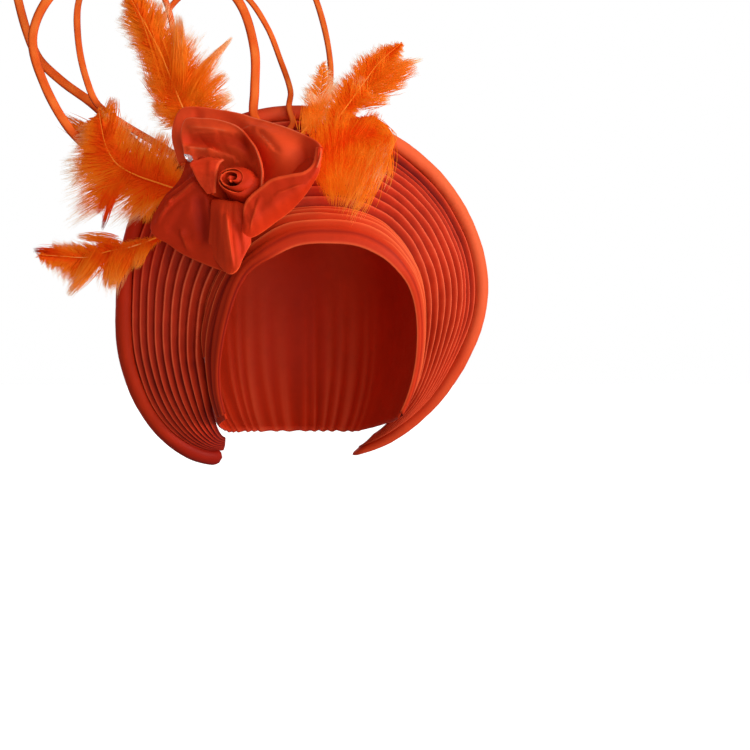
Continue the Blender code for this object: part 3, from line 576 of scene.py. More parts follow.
# The plume that hangs over the pleats: its quill, where its strands start, swing out and end across and
# up, from left to right, and how far forward those three places are
HANGING_QUILL = table("across up forward", (15, 7, 4), (36, 17.5, 1), (54, 43, -6), (69, 63, -7))
HANGING_PLUME = table(
    "across start bend end",
    (0.0, (48, 60), (40, 32), (54, 4)),
    (0.3, (60, 64), (60, 34), (62, -6)),
    (0.6, (74, 67), (88, 42), (72, -9)),
    (0.85, (82, 68), (103, 48), (80, -4)),
    (1.0, (86, 68), (112, 50), (90, 8)),
)
HANGING_DEPTHS = (-5, -1, 3.2)
HANGING_STRANDS = 2000
HANGING_STEPS = 6
HANGING_LOCKS = 26
HANGING_QUILL_STEPS = 20
HANGING_QUILL_WIDTH = 1.7
HANGING_SEED = 9

# How much cloth each weave spans, in millimetres around or along a piece and across it
WEAVE_SPANS = dict(
    cap=(560, 190), fan=(620, 320), roll=(ROLL_LENGTH, 38), band=(420, 40), petal=(110, 55), bud=(150, 36),
)
STRIP_SPAN = 18

# Cloth colours: each from a groove's painted shade, through the open cloth's dye, to a crease's painted
# highlight
HALO_DYE_AND_SHADE = [(0.0, "#6C0602"), (0.5, "#CC3212"), (1.0, "#F2643E")]
ROLL_DYE_AND_SHADE = [(0.0, "#800A03"), (0.5, "#CC3210"), (1.0, "#FA6E3E")]
PETAL_DYE_AND_SHADE = [(0.0, "#8E0E04"), (0.5, "#D6320E"), (0.86, "#FC5426"), (1.0, "#FC744C")]
STRIP_DYE_AND_SHADE = [(0.0, "#8C1E06"), (0.5, "#E65A16"), (1.0, "#F88838")]
# The plumes' dye, from its depth along the quill to the pale tips
PLUME_DYE = [
    (0.0, "#A02604"), (0.10, "#EE4604"), (0.24, "#F25E08"), (0.44, "#F48614"), (0.70, "#F8A236"),
    (1.0, "#FDD9AE"),
]
CLOTH_ROUGHNESS = 0.56
# Threads are about 0.2 mm apart on the real cloth, too fine to show, so the weave is drawn coarser
DRAWN_THREAD = 1.3
CRUMPLE_WIDTH = 9.0

# The studio: the floor in metres, the camera's place in millimetres and its turn in degrees, and far
# lights, each with the way that it shines, its strength and its apparent size in degrees
FLOOR_SIZE = 60.0
FLOOR_LEVEL = -0.46
CAMERA_PLACE = (-308.3, -1449.05, -129.75)
CAMERA_TURN = -14
CAMERA_LENS = 96
SUNS = table(
    "name shines energy softness colour",
    ("key", (-0.85, 0.55, -0.05), 2.4, 20, "#FFFAF2"),
    ("front", (-0.42, 0.90, -0.03), 1.75, 80, "#FFFFFF"),
    ("back", (0.40, -0.85, -0.30), 0.9, 50, "#FFFFFF"),
)


def smooth_through(keys, values, where):
    """Value at a place on a smooth curve through keyed values, which may be vectors."""
    last = len(keys) - 1
    index = 0
    while index < last - 1 and keys[index + 1] < where:
        index += 1
    before = max(index - 1, 0)
    after = min(index + 2, last)
    span = keys[index + 1] - keys[index]
    slope_low = (values[index + 1] - values[before]) * (span / (keys[index + 1] - keys[before]))
    slope_high = (values[after] - values[index]) * (span / (keys[after] - keys[index]))
    t = clamp((where - keys[index]) / span)
    return (
        values[index] * (2 * t**3 - 3 * t**2 + 1)
        + slope_low * (t**3 - 2 * t**2 + t)
        + values[index + 1] * (3 * t**2 - 2 * t**3)
        + slope_high * (t**3 - t**2)
    )


def smooth_value(rows, column, key, where):
    """Value of a named column of a short table, on a smooth curve through its rows."""
    return smooth_through([row[key] for row in rows], [row[column] for row in rows], where)


def clamp(value):
    """A value held between 0 and 1."""
    return min(max(value, 0.0), 1.0)


def ease(low, high, where):
    """Smooth step from 0 at low to 1 at high."""
    t = clamp((where - low) / (high - low))
    return t * t * (3 - 2 * t)


def peak(middle, width, where):
    """Bell curve of height 1 around a middle."""
    return math.exp(-((where - middle) / width) ** 2)


def ripple(along, across, seed):
    """Gentle repeatable noise from -1 to 1."""
    return noise.noise(Vector((along, across, seed * 7.31 + 0.5)))


def steps(start, end, count):
    """Evenly spaced values from start to end, both included."""
    return [start + (end - start) * index / (count - 1) for index in range(count)]


# Meshes

def add_object(name, data):
    """An object in the scene, at the origin."""
    thing = bpy.data.objects.new(name, data)
    bpy.context.scene.collection.objects.link(thing)
    return thing


def finished_mesh(name, shape):
    """The mesh of a bmesh, which is freed."""
    mesh = bpy.data.meshes.new(name)
    shape.to_mesh(mesh)
    shape.free()
    return mesh


def new_grid(columns, rows, span):
    """A flat grid of quads with its UVs in metres of cloth, of which it spans so many millimetres."""
    shape = bmesh.new()
    weave = shape.loops.layers.uv.new("UVMap")
    shape.verts.layers.float.new("fold")
    bmesh.ops.create_grid(shape, x_segments=columns, y_segments=rows, size=0.5, calc_uvs=True)
    for face in shape.faces:
        for corner in face.loops:
            spot = corner[weave].uv
            corner[weave].uv = (spot.x * span[0] * MM, spot.y * span[1] * MM)
    return shape


def lay_out(shape, place):
    """Moves each point of a flat grid to its place, and notes the value that picks its colour: painted shade
    in grooves, painted highlight on creases.
    """
    fold = shape.verts.layers.float["fold"]
    for vert in shape.verts:
        spot, crease = place(vert.co.x + 0.5, vert.co.y + 0.5)
        vert.co = spot * MM
        vert[fold] = crease


def add_piece(name, shape, material, wall=0.0, facing=None):
    """Turns a bmesh into a piece that rides on the head tie and stands for the node of its name.

    A closed shape's faces are turned outwards. An open sheet's are turned the way that it is facing,
    before the cloth gets its wall.
    """
    bmesh.ops.remove_doubles(shape, verts=shape.verts, dist=MERGE_DISTANCE * MM)
    if facing is None:
        open_edges = [edge for edge in shape.edges if edge.is_boundary]
        if open_edges:
            bmesh.ops.holes_fill(shape, edges=open_edges, sides=0)
        bmesh.ops.recalc_face_normals(shape, faces=shape.faces)
    else:
        shape.normal_update()
        ahead = sum(face.normal.dot(facing) * face.calc_area() for face in shape.faces)
        if ahead < 0:
            bmesh.ops.reverse_faces(shape, faces=shape.faces)
    mesh = finished_mesh(name + "_dressed", shape)
    mesh.materials.append(material)
    mesh.shade_smooth()
    piece = add_object(name + "_dressed", mesh)
    if wall:
        cloth_wall = piece.modifiers.new("cloth wall", "SOLIDIFY")
        cloth_wall.thickness = wall * MM
        cloth_wall.offset = -1
    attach(piece, "root")
    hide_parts(name)
    return piece


# The cap's egg, the halo and the rosette's frame

def egg_axes(lift):
    """Half sizes of the cap's outer face, enlarged by lift."""
    return {side: size + CLOTH_WALL + lift for side, size in HOLLOW.items()}


def on_cap(angle, depth, lift):
    """Point above the cap's outer face, by angle from the crown and depth along Y."""
    axes = egg_axes(lift)
    turn = math.radians(angle)
    along = axes["front"] if depth < 0 else axes["back"]
    height = axes["up"] if math.cos(turn) > 0 else axes["down"]
    left = max(1 - abs(depth / along) ** HOLLOW_ROUNDNESS, 0)
    across = abs(math.sin(turn) / axes["side"]) ** HOLLOW_ROUNDNESS
    across += abs(math.cos(turn) / height) ** HOLLOW_ROUNDNESS
    radius = (left / across) ** (1 / HOLLOW_ROUNDNESS)
    return Vector((radius * math.sin(turn), depth, HOLLOW_CENTRE_Z + radius * math.cos(turn)))


def signed_power(value, exponent):
    return math.copysign(abs(value) ** exponent, value)


def egg_point(around, down_angle, lift):
    """Point of the cap's egg, by the angle around Z and the angle down from the crown."""
    axes = egg_axes(lift)
    power = 2 / HOLLOW_ROUNDNESS
    spread = signed_power(math.sin(down_angle), power)
    depth = axes["back"] if math.sin(around) > 0 else axes["front"]
    height = axes["up"] if math.cos(down_angle) > 0 else axes["down"]
    return Vector((
        axes["side"] * spread * signed_power(math.cos(around), power),
        depth * spread * signed_power(math.sin(around), power),
        HOLLOW_CENTRE_Z + height * signed_power(math.cos(down_angle), power),
    ))


def egg_angles(point):
    """The two egg angles of a point on the cap's outer face."""
    axes = egg_axes(0)
    power = HOLLOW_ROUNDNESS / 2
    rise = point.z - HOLLOW_CENTRE_Z
    height = axes["up"] if rise > 0 else axes["down"]
    depth = axes["back"] if point.y > 0 else axes["front"]
    down_angle = math.acos(signed_power(rise / height, power))
    across = signed_power(point.x / axes["side"], power)
    along = signed_power(point.y / depth, power)
    return math.atan2(along, across), down_angle


def front_edge_depth(angle):
    return smooth_value(FRONT_EDGE, "depth", "angle", angle)


def cap_outline(front_steps, nape_steps):
    """The cap's whole edge as egg angles: over the front from side to side, then across the nape."""
    outline = []
    for angle in steps(FRONT_EDGE[0]["angle"], FRONT_EDGE[-1]["angle"], front_steps):
        outline.append(egg_angles(on_cap(angle, front_edge_depth(angle), 0)))
    start = outline[-1]
    end = outline[0]
    nape_rise = (NAPE_Z - HOLLOW_CENTRE_Z) / HOLLOW["down"]
    nape_drop = math.acos(signed_power(nape_rise, HOLLOW_ROUNDNESS / 2))
    for index in range(1, nape_steps):
        t = index / nape_steps
        around = start[0] + (end[0] + 2 * math.pi - start[0]) * t
        edge_drop = start[1] + (end[1] - start[1]) * t
        blend = min(1.0, min(t, 1 - t) / NAPE_CORNER)
        outline.append((around, edge_drop + (nape_drop - edge_drop) * blend))
    return outline


def halo_value(column, angle):
    return smooth_value(HALO, column, "angle", angle)


def halo_edge(angle):
    """Outermost point of the halo at an angle from the top."""
    turn = math.radians(angle)
    radius = halo_value("radius", angle)
    x, z = HALO_CENTRE
    return Vector((x + radius * math.sin(turn), halo_value("depth", angle), z + radius * math.cos(turn)))


def halo_seam(angle):
    """Where the pleats leave the cap."""
    return on_cap(halo_value("seam_angle", angle), halo_value("seam_depth", angle), SEAM_LIFT)


@lru_cache(maxsize=None)
def halo_section(angle):
    """Start, outward direction, forward normal and full width of the halo's section."""
    seam = halo_seam(angle)
    edge = halo_edge(angle)
    outward = (edge - seam).normalized()
    ahead = halo_seam(angle + 1) + halo_edge(angle + 1)
    behind = halo_seam(angle - 1) + halo_edge(angle - 1)
    forward = outward.cross((ahead - behind).normalized()).normalized()
    if forward.y > 0:
        forward.negate()
    turned = (abs(angle) - HALO_TURN_START) / (HALO_TURN_END - HALO_TURN_START)
    front = Vector((0, -1, 0))
    front = (front - outward * front.dot(outward)).normalized()
    forward = forward.lerp(front, clamp(turned)).normalized()
    return seam, outward, forward, (edge - seam).length


def halo_point(angle, share, height):
    """Point at a share of the pleated width, raised forward from its base line."""
    seam, outward, forward, width = halo_section(angle)
    sheet = width - ROLL_WIDTH + PLEAT_TUCK
    bow = HALO_BOW * math.sin(math.pi * share)
    return seam + outward * (sheet * share) + forward * (height + bow)


def halo_angle(share):
    """Angle at a share of the way round the halo."""
    start = HALO[0]["angle"] + HALO_END_TRIM
    return start + (HALO[-1]["angle"] - HALO_END_TRIM - start) * share


@lru_cache(maxsize=None)
def rose_frame():
    """The rosette's base point and its directions across, up and forward."""
    forward = Vector(ROSE_FACING).normalized()
    across = Vector((0, 0, 1)).cross(forward).normalized()
    return halo_point(ROSE_ANGLE, ROSE_SHARE, PLEAT_HEIGHT), across, forward.cross(across), forward


def rose_point(across, up, forward):
    """Point in the rosette's frame."""
    base, right, top, front = rose_frame()
    return base + right * across + top * up + front * forward


def bud_reach(angle):
    """Outer radius of the source's rolled heart in a direction."""
    turned = (BUD_END_ANGLE - angle) % 360
    wound = 1 - turned / 360 / BUD_TURNS
    outer = BUD_OUTER_RADIUS - CLOTH_WALL / 2
    return BUD_INNER_RADIUS + (outer - BUD_INNER_RADIUS) * wound + CLOTH_WALL / 2


# Materials

def linear(hex_colour):
    """Linear RGBA of an sRGB hex colour."""
    channels = [int(hex_colour[place:place + 2], 16) / 255 for place in (1, 3, 5)]
    return (*[c / 12.92 if c <= 0.04045 else ((c + 0.055) / 1.055) ** 2.4 for c in channels], 1.0)


def add_node(owner, kind, inputs=None, stops=(), **settings):
    """One node of a material or a world, with its settings, its inputs set or linked and a ramp's stops."""
    tree = owner.node_tree
    node = tree.nodes.new(kind)
    for name, value in settings.items():
        setattr(node, name, value)
    for name, value in (inputs or {}).items():
        if isinstance(value, bpy.types.NodeSocket):
            tree.links.new(value, node.inputs[name])
        else:
            node.inputs[name].default_value = value
    while stops and len(node.color_ramp.elements) < len(stops):
        node.color_ramp.elements.new(0.5)
    for index, (place, hex_colour) in enumerate(stops):
        node.color_ramp.elements[index].position = place
        node.color_ramp.elements[index].color = linear(hex_colour)
    return node


def new_material(name):
    material = bpy.data.materials.new(name)
    material.use_nodes = True
    material.node_tree.nodes.clear()
    return material


def woven_cloth(name, dye_and_shade, crumpled):
    """Polyester taffeta: a close plain weave, matt, with a painted highlight along its creases and painted
    shade in its grooves.
    """
    material = new_material(name)
    place = add_node(material, "ShaderNodeTexCoord")
    fold = add_node(material, "ShaderNodeAttribute", attribute_name="fold")
    # The ramp gives painted shade in grooves, the dye on open cloth and a painted highlight on creases
    shade = add_node(material, "ShaderNodeValToRGB", {"Fac": fold.outputs["Fac"]}, stops=dye_and_shade)
    # The dye is a little uneven, in clouds about 26 mm wide
    cloud = add_node(material, "ShaderNodeTexNoise", {
        "Vector": place.outputs["Object"], "Scale": 38.0, "Detail": 3.0, "Roughness": 0.6,
    })
    cloud_range = add_node(material, "ShaderNodeMapRange", {
        "Value": cloud.outputs["Fac"], "From Min": 0.3, "From Max": 0.7, "To Min": 0.94, "To Max": 1.06,
    })
    tinted = add_node(material, "ShaderNodeMix", {
        "Factor": 1.0, "A": shade.outputs["Color"], "B": cloud_range.outputs["Result"],
    }, data_type="RGBA", blend_type="MULTIPLY")
    threads = []
    for across in ((1.0, 0.22, 1.0), (0.22, 1.0, 1.0)):
        stretched = add_node(material, "ShaderNodeMapping", {
            "Vector": place.outputs["UV"], "Scale": across,
        })
        threads.append(add_node(material, "ShaderNodeTexNoise", {
            "Vector": stretched.outputs["Vector"], "Scale": 1 / (DRAWN_THREAD * MM), "Detail": 1.5,
        }).outputs["Fac"])
    weave = add_node(material, "ShaderNodeMath", {0: threads[0], 1: threads[1]}, operation="ADD")
    bump = add_node(material, "ShaderNodeBump", {
        "Height": weave.outputs["Value"], "Strength": 0.22, "Distance": 0.25 * MM,
    })
    drawn = add_node(material, "ShaderNodeMapping", {"Vector": place.outputs["UV"], "Scale": (1.0, 0.3, 1.0)})
    crumple = add_node(material, "ShaderNodeTexNoise", {
        "Vector": drawn.outputs["Vector"], "Scale": 1 / (CRUMPLE_WIDTH * MM), "Detail": 2.0,
    })
    soft = add_node(material, "ShaderNodeBump", {
        "Height": crumple.outputs["Fac"], "Strength": crumpled, "Distance": 1.4 * MM,
        "Normal": bump.outputs["Normal"],
    })
    rough = add_node(material, "ShaderNodeMapRange", {
        "Value": weave.outputs["Value"], "From Min": 0.6, "From Max": 1.4,
        "To Min": CLOTH_ROUGHNESS - 0.07, "To Max": CLOTH_ROUGHNESS + 0.07,
    })
    shader = add_node(material, "ShaderNodeBsdfPrincipled", {
        "Base Color": tinted.outputs["Result"],
        "Roughness": rough.outputs["Result"],
        "Normal": soft.outputs["Normal"],
        "Specular IOR Level": 0.10,
        "Sheen Weight": 0.03,
        "Sheen Roughness": 0.35,
        "Sheen Tint": linear("#FF7048"),
    })
    add_node(material, "ShaderNodeOutputMaterial", {"Surface": shader.outputs["BSDF"]})
    return material


def dyed_barbs(name):
    """Dyed feather: fine barbs, deep in colour along the quill and pale at their tips.

    They glow a little in their own colour, painted light that stands in for the light passed on between the
    fine barbs.
    """
    material = new_material(name)
    place = add_node(material, "ShaderNodeTexCoord")
    reach = add_node(material, "ShaderNodeAttribute", attribute_name="fold")
    # The dye is uneven in clouds about 17 mm wide
    cloud = add_node(material, "ShaderNodeTexNoise", {
        "Vector": place.outputs["Object"], "Scale": 60.0, "Detail": 2.0,
    })
    spread = add_node(material, "ShaderNodeMapRange", {
        "Value": cloud.outputs["Fac"], "From Min": 0.3, "From Max": 0.7, "To Min": -0.08, "To Max": 0.08,
    })
    dye_and_shade = add_node(material, "ShaderNodeMath", {
        0: reach.outputs["Fac"], 1: spread.outputs["Result"],
    }, operation="ADD", use_clamp=True)
    ramp = add_node(material, "ShaderNodeValToRGB", {"Fac": dye_and_shade.outputs["Value"]}, stops=PLUME_DYE)
    shade = ramp.outputs["Color"]
    # Painted glow, stronger on the viewer's right, where the light falls
    where = add_node(material, "ShaderNodeSeparateXYZ", {"Vector": place.outputs["Object"]})
    painted_glow = add_node(material, "ShaderNodeMapRange", {
        "Value": where.outputs["X"], "From Min": -0.13, "From Max": 0.01, "To Min": 0.21, "To Max": 0.39,
    })
    shader = add_node(material, "ShaderNodeBsdfPrincipled", {
        "Base Color": shade,
        "Roughness": 0.66,
        "Specular IOR Level": 0.08,
        "Emission Color": shade,
        "Emission Strength": painted_glow.outputs["Result"],
    })
    glow = add_node(material, "ShaderNodeBsdfTranslucent", {"Color": shade})
    both = add_node(material, "ShaderNodeMixShader", {
        "Fac": 0.45, 1: shader.outputs["BSDF"], 2: glow.outputs["BSDF"],
    })
    add_node(material, "ShaderNodeOutputMaterial", {"Surface": both.outputs["Shader"]})
    return material


def clear_glass(name):
    """Cut glass: colourless and polished."""
    material = new_material(name)
    shader = add_node(material, "ShaderNodeBsdfPrincipled", {
        "Base Color": linear("#F4F6FA"),
        "Roughness": 0.03,
        "IOR": 1.54,
        "Transmission Weight": 0.8,
    })
    add_node(material, "ShaderNodeOutputMaterial", {"Surface": shader.outputs["BSDF"]})
    return material


# Pieces

def make_crown_cap(material):
    """Cloth cap: smooth over the crown, softly gathered behind, with a turned hem."""
    outline = cap_outline(CAP_FRONT_STEPS, CAP_NAPE_STEPS)

    def place(u, v):
        around, drop = outline[round(u * len(outline)) % len(outline)]
        behind = ease(0.1, 0.9, math.sin(around))
        soft_folds = CAP_FOLD_HEIGHT * behind * ripple(drop * 9, around * 1.5, 1) * math.sin(math.pi * v)
        drawn_up = ease(0.35, 0.80, math.sin(around)) * ease(0.50, 0.97, v)
        drawn_up *= 0.75 + 0.6 * ripple(around * 7, v, 15)
        gather = math.sin(around * CAP_GATHERS + 3.2 * ripple(around * 6, v * 1.5, 14))
        lift = -CAP_SINK + soft_folds + CAP_DENTS * ripple(around * 8, drop * 8, 2)
        lift += CAP_GATHER_HEIGHT * drawn_up * gather
        before_hem = 1 - ease(0.90, 0.93, v)
        # Painted light and shade follow the soft folds and gathers behind: lighter where they rise, darker
        # where they sink
        fold = 0.5 + 0.35 * ripple(drop * 9, around * 1.5, 1) * behind + 0.24 * drawn_up * gather
        return egg_point(around, drop * v, lift - CAP_HEM_STEP * before_hem * ease(0.5, 0.9, v)), clamp(fold)

    shape = new_grid(len(outline), CAP_ROWS, WEAVE_SPANS["cap"])
    lay_out(shape, place)
    bmesh.ops.remove_doubles(shape, verts=shape.verts, dist=MERGE_DISTANCE * MM)
    shape.normal_update()
    centre = Vector((0, 0, HOLLOW_CENTRE_Z)) * MM
    outwards = sum(face.normal.dot(face.calc_center_median() - centre) for face in shape.faces)
    if outwards < 0:
        bmesh.ops.reverse_faces(shape, faces=shape.faces)
    return add_piece("crown_cap", shape, material, wall=CAP_WALL, facing=Vector((0, 0, 1)))


def make_pleated_fan(material):
    """The halo's cloth: nine knife pleats, each with a crisp crease over a deep groove.

    On the viewer's left the pleats are lower, and a painted highlight keeps only their crests light. Painted
    shade darkens them low on that side, in the sunken outer pleats, and a little at the upper right.
    """
    section = []
    for pleat in range(PLEAT_COUNT):
        for row in PLEAT_SHAPE:
            section.append(dict(row, pleat=pleat, back=0))
    # The sheet's turn behind the roll is painted in full shade
    section.append(dict(across=0, height=0, fold=0, pleat=PLEAT_COUNT, back=0))
    section.append(dict(across=0, height=0, fold=0, pleat=PLEAT_COUNT, back=1))
    for pleat in reversed(range(PLEAT_COUNT)):
        for row in reversed(PLEAT_BACK_SHAPE):
            section.append(dict(row, pleat=pleat, back=1))

    def place(u, v):
        angle = halo_angle(u)
        row = section[round(v * len(section)) % len(section)]
        pitch = (halo_section(angle)[3] - ROLL_WIDTH) / PLEAT_COUNT
        depth = min(1, pitch / PLEAT_FULL_PITCH)
        pleat = row["pleat"]
        wander = FAN_WANDER * ripple(angle * 0.07, pleat * 2.7, 3) if 0 < row["across"] < 1 else 0
        share = (pleat + row["across"] + wander) / PLEAT_COUNT
        tuck = FAN_TUCK * ease(-75, -100, angle) * ease(-152, -138, angle)
        share -= tuck * max(0, 1 - pleat - row["across"]) / halo_section(angle)[3]
        tall = 1 + FAN_UNEVEN * ripple(angle * 0.09, pleat * 3.9, 4)
        sink = halo_value("sink", angle) * ease(0.62, 0.84, share) * (1 - 0.8 * ease(0.93, 1.0, share))
        soft = FAN_SOFT_SIDE * ease(10, -60, angle) * ease(-125, -100, angle)
        height = FAN_CREST * row["height"] * depth * tall * (1 - soft) - sink - FAN_BACK * row["back"]
        height += FAN_DENTS * ripple(angle * 0.9, share * 22, 5)
        # On the viewer's left a painted highlight runs along each crest, and the grooves' painted shade is
        # weaker
        crisp = peak(0.57, 0.08, row["across"]) - 0.20
        fold = 0.5 + (row["fold"] - 0.5) * (1 - 2 * soft) + 1.7 * soft * crisp
        # Painted shade in the sunken outer pleats, at the upper right and low on the viewer's left, with a
        # little uneven tone
        shade = FAN_PAINTED_SHADES["sunken"] * sink + FAN_PAINTED_SHADES["upper_right"] * peak(38, 26, angle)
        shade += FAN_PAINTED_SHADES["low_left"] * ease(-95, -122, angle)
        shade += FAN_PAINTED_SHADES["lowest_left"] * ease(-130, -156, angle)
        fold += 0.07 * ripple(angle * 0.25, pleat * 1.9, 6)
        return halo_point(angle, share, height), clamp(fold - shade)

    shape = new_grid(FAN_COLUMNS, len(section), WEAVE_SPANS["fan"])
    lay_out(shape, place)
    return add_piece("pleated_fan", shape, material)


def make_rim_roll(material):
    """Padded roll along the halo's outer edge, sewn shut behind.

    Its cloth is painted lighter towards the viewer's right, most at the upper right, and painted in shade at
    its low ends and round its back.
    """

    def place(u, v):
        angle = halo_angle(u)
        seam, outward, forward, width = halo_section(angle)
        turn = 2 * math.pi * v
        from_end = min(u, 1 - u) * ROLL_LENGTH
        end = math.sqrt(max(1 - (1 - min(from_end / ROLL_END, 1)) ** 2, 0))
        swell = 1 + ROLL_SWELL * ripple(angle * 0.12, 0, 7)
        swell += ROLL_DENTS * ripple(angle * 0.45 + math.sin(turn), math.cos(turn) * 1.3, 8)
        stitched = ROLL_SEAM * peak(-1, 0.06, math.sin(turn))
        size = end * (swell - stitched)
        spot = seam + outward * (width - ROLL_WIDTH / 2) + forward * ROLL_FORWARD
        spot += outward * (ROLL_WIDTH / 2 * math.cos(turn) * size)
        spot += forward * (ROLL_THICKNESS / 2 * math.sin(turn) * size)
        # Painted light to the viewer's right and at the upper right, painted shade at the low ends and round
        # the back, with uneven tone
        side = ROLL_PAINTED_LIGHTS["right"] * math.sin(math.radians(angle))
        side += ROLL_PAINTED_LIGHTS["upper_right"] * peak(30, 42, angle)
        ends = ROLL_PAINTED_SHADES["low_right"] * ease(95, 110, angle)
        ends += ROLL_PAINTED_SHADES["low_left"] * ease(-122, -156, angle)
        side -= ends
        return spot, clamp(0.5 + side + 0.06 * ripple(angle * 0.12, turn, 9) + 0.08 * math.sin(turn))

    shape = new_grid(ROLL_COLUMNS, ROLL_SIDES, WEAVE_SPANS["roll"])
    lay_out(shape, place)
    piece = add_piece("rim_roll", shape, material)
    return piece


def seam_depth_at(cap_angle):
    """Depth of the halo's seam by the cap's own angle."""
    return smooth_value(HALO, "seam_depth", "seam_angle", cap_angle)


def make_band_fold(fold, number, material):
    """One fold of the wrapped band, its outer edge raised over the next."""
    inner = fold["lower"] is None
    hem = BAND_HEM if inner else []
    creases = BAND_CREASES[fold["name"]]
    section = [dict(row, share=0.0, rise=0.0) for row in hem]
    keys = range(len(BAND_TOP))
    for where in steps(1 if hem else 0, len(BAND_TOP) - 1, BAND_ROWS):
        top = {key: smooth_through(keys, [row[key] for row in BAND_TOP], where) for key in BAND_TOP[0]}
        section.append(dict(top, past=0, lift=0))
    section += [dict(row, past=0, lift=0) for row in BAND_UNDER]

    @lru_cache(maxsize=None)
    def edges(angle):
        edge = front_edge_depth(angle)
        width = seam_depth_at(angle) - PIECE_GAP * 2 - edge
        low = edge
        if fold["lower"]:
            low += width * smooth_value(BAND_LINES, fold["lower"], "angle", angle) - BAND_TUCK
        high = edge + width - BAND_SEAM_GAP
        if fold["upper"]:
            high = edge + width * smooth_value(BAND_LINES, fold["upper"], "angle", angle) + BAND_OVERLAP
        high += BAND_WAVER * ripple(angle * 0.06, number, 10)
        return low, high

    def creased(angle, row):
        """How much of a narrow crease runs through a place on the fold's face."""
        if row["fold"] < 0.2:
            return 0
        total = 0
        for crease in creases:
            (angle_1, share_1), (angle_2, share_2) = crease["start"], crease["end"]
            along = (angle - angle_1) / (angle_2 - angle_1)
            if 0 < along < 1:
                line = share_1 + (share_2 - share_1) * along + 0.03 * ripple(angle * 0.08, share_1 * 9, 13)
                fade = ease(0, 0.15, along) * ease(1, 0.85, along)
                total += crease["rise"] * fade * peak(line, CREASE_WIDTH, row["share"])
        return total

    def place(u, v):
        angle = fold["start"] + (fold["end"] - fold["start"]) * u
        row = section[round(v * len(section)) % len(section)]
        low, high = edges(angle)
        taper = ease(0, BAND_TAPER, min(angle - fold["start"], fold["end"] - angle))
        tall = fold["height"] * (0.45 + 0.55 * taper) * (1 + BAND_UNEVEN * ripple(angle * 0.05, number, 11))
        depth = low + (high - low) * row["share"] + row["past"]
        pulled = BAND_PULL * ripple(angle * 0.10, row["share"] * 4 + number * 5, 12)
        line = creased(angle, row)
        lift = PIECE_GAP + tall * row["rise"] + row["lift"] + pulled * ease(0, 0.3, row["rise"]) + line
        # Painted shade darkens all folds but their edges on the viewer's left, painted light lifts them a
        # little to the right, and the narrow creases get a painted highlight
        crease = row["fold"] + 0.9 * line + 0.05 * math.sin(math.radians(angle))
        crease -= BAND_PAINTED_SHADES["side"] * ease(-40, -75, angle) * ease(1.0, 0.7, row["fold"])
        # The first fold swells by the face, with painted light on the swell on the viewer's left, and on that
        # side it has a hollow along its middle in painted shade and its hem in painted shadow
        if inner:
            shaded = ease(-30, -75, angle)
            valley = shaded * peak(0.66, 0.17, row["share"])
            swell = BAND_SWELL * ease(0, 0.10, row["share"]) * ease(0.6, 0.2, row["share"])
            lift += swell - BAND_HOLLOW * valley
            crease += 0.22 * shaded * ease(0.55, 0.30, row["share"]) - BAND_PAINTED_SHADES["hollow"] * valley
            if row["lift"] < -0.6:
                crease -= BAND_PAINTED_SHADES["hem"] * shaded
        return on_cap(angle, depth, lift), clamp(crease)

    shape = new_grid(BAND_COLUMNS, len(section), WEAVE_SPANS["band"])
    lay_out(shape, place)
    return add_piece(fold["name"], shape, material)


def rib_points(ribs, column):
    return [Vector(rib[column]) for rib in ribs]


def petal_rib(ribs, where):
    """Inner and outer end of a petal's rib, its outward direction and the way that its face looks."""
    keys = range(len(ribs))
    inner = smooth_through(keys, rib_points(ribs, "inner"), where)
    outer = smooth_through(keys, rib_points(ribs, "outer"), where)
    last = len(ribs) - 1
    ahead = smooth_through(keys, rib_points(ribs, "outer"), min(where + 0.1, last))
    behind = smooth_through(keys, rib_points(ribs, "outer"), max(where - 0.1, 0))
    outward = (outer - inner).normalized()
    face = outward.cross(ahead - behind).normalized()
    if face.z < 0:
        face.negate()
    return inner, outer, outward, face


def pressed(folds, across, up):
    """Height of the folds pressed into a petal at a place across and up, and the painted highlight along
    their crests.
    """
    total = 0
    crest = 0
    spot = Vector((across, up))
    for fold in folds:
        start = Vector(fold["start"])
        run = Vector(fold["end"]) - start
        away = spot - start
        along = away.dot(run) / run.length_squared
        off = (away - run * clamp(along)).length / fold["width"]
        if fold["edge"] * (away.x * run.y - away.y * run.x) > 0:
            off *= FOLD_DROP
        total += fold["height"] * math.exp(-off * off)
        # A lapped fold's edge gets a painted highlight along its crest
        if fold["edge"]:
            crest += 0.20 * math.exp(-(off * 2.6) ** 2) * ease(0, 0.2, along) * ease(1, 0.8, along)
    return total, crest


def petal_path(name, where):
    """A petal's section from its foot at the heart to its outline, in the rosette's frame."""
    ribs = PETALS[name]
    inner, outer, outward, face = petal_rib(ribs, where)
    belly = smooth_through(range(len(ribs)), [row["belly"] for row in ribs], where)
    side = Vector((inner.x - BUD_CENTRE[0], inner.y - BUD_CENTRE[1])).normalized()
    foot = Vector((side.x * PETAL_FOOT_RADIUS, side.y * PETAL_FOOT_RADIUS, PETAL_FOOT_HEIGHT))
    middle = inner.lerp(outer, 0.5) + face * belly
    end = outer - outward * PETAL_ROLLS[name]
    if name in FOLDED_PETALS:
        behind = inner + outward * 2.5 - face * FOLD_DEPTH
        turned = inner - outward * 1.2 - face * (FOLD_DEPTH / 2)
        keys = (0, 0.17, 0.22, PETAL_THROAT, 0.5, PETAL_BODY)
        return keys, (foot, behind, turned, inner + outward * 0.8, middle, end), outward, face
    throat = foot.lerp(inner, 0.55) - Vector((0, 0, 1.5))
    keys = (0, 0.14, PETAL_THROAT, 0.56, PETAL_BODY)
    return keys, (foot, throat, inner, middle, end), outward, face


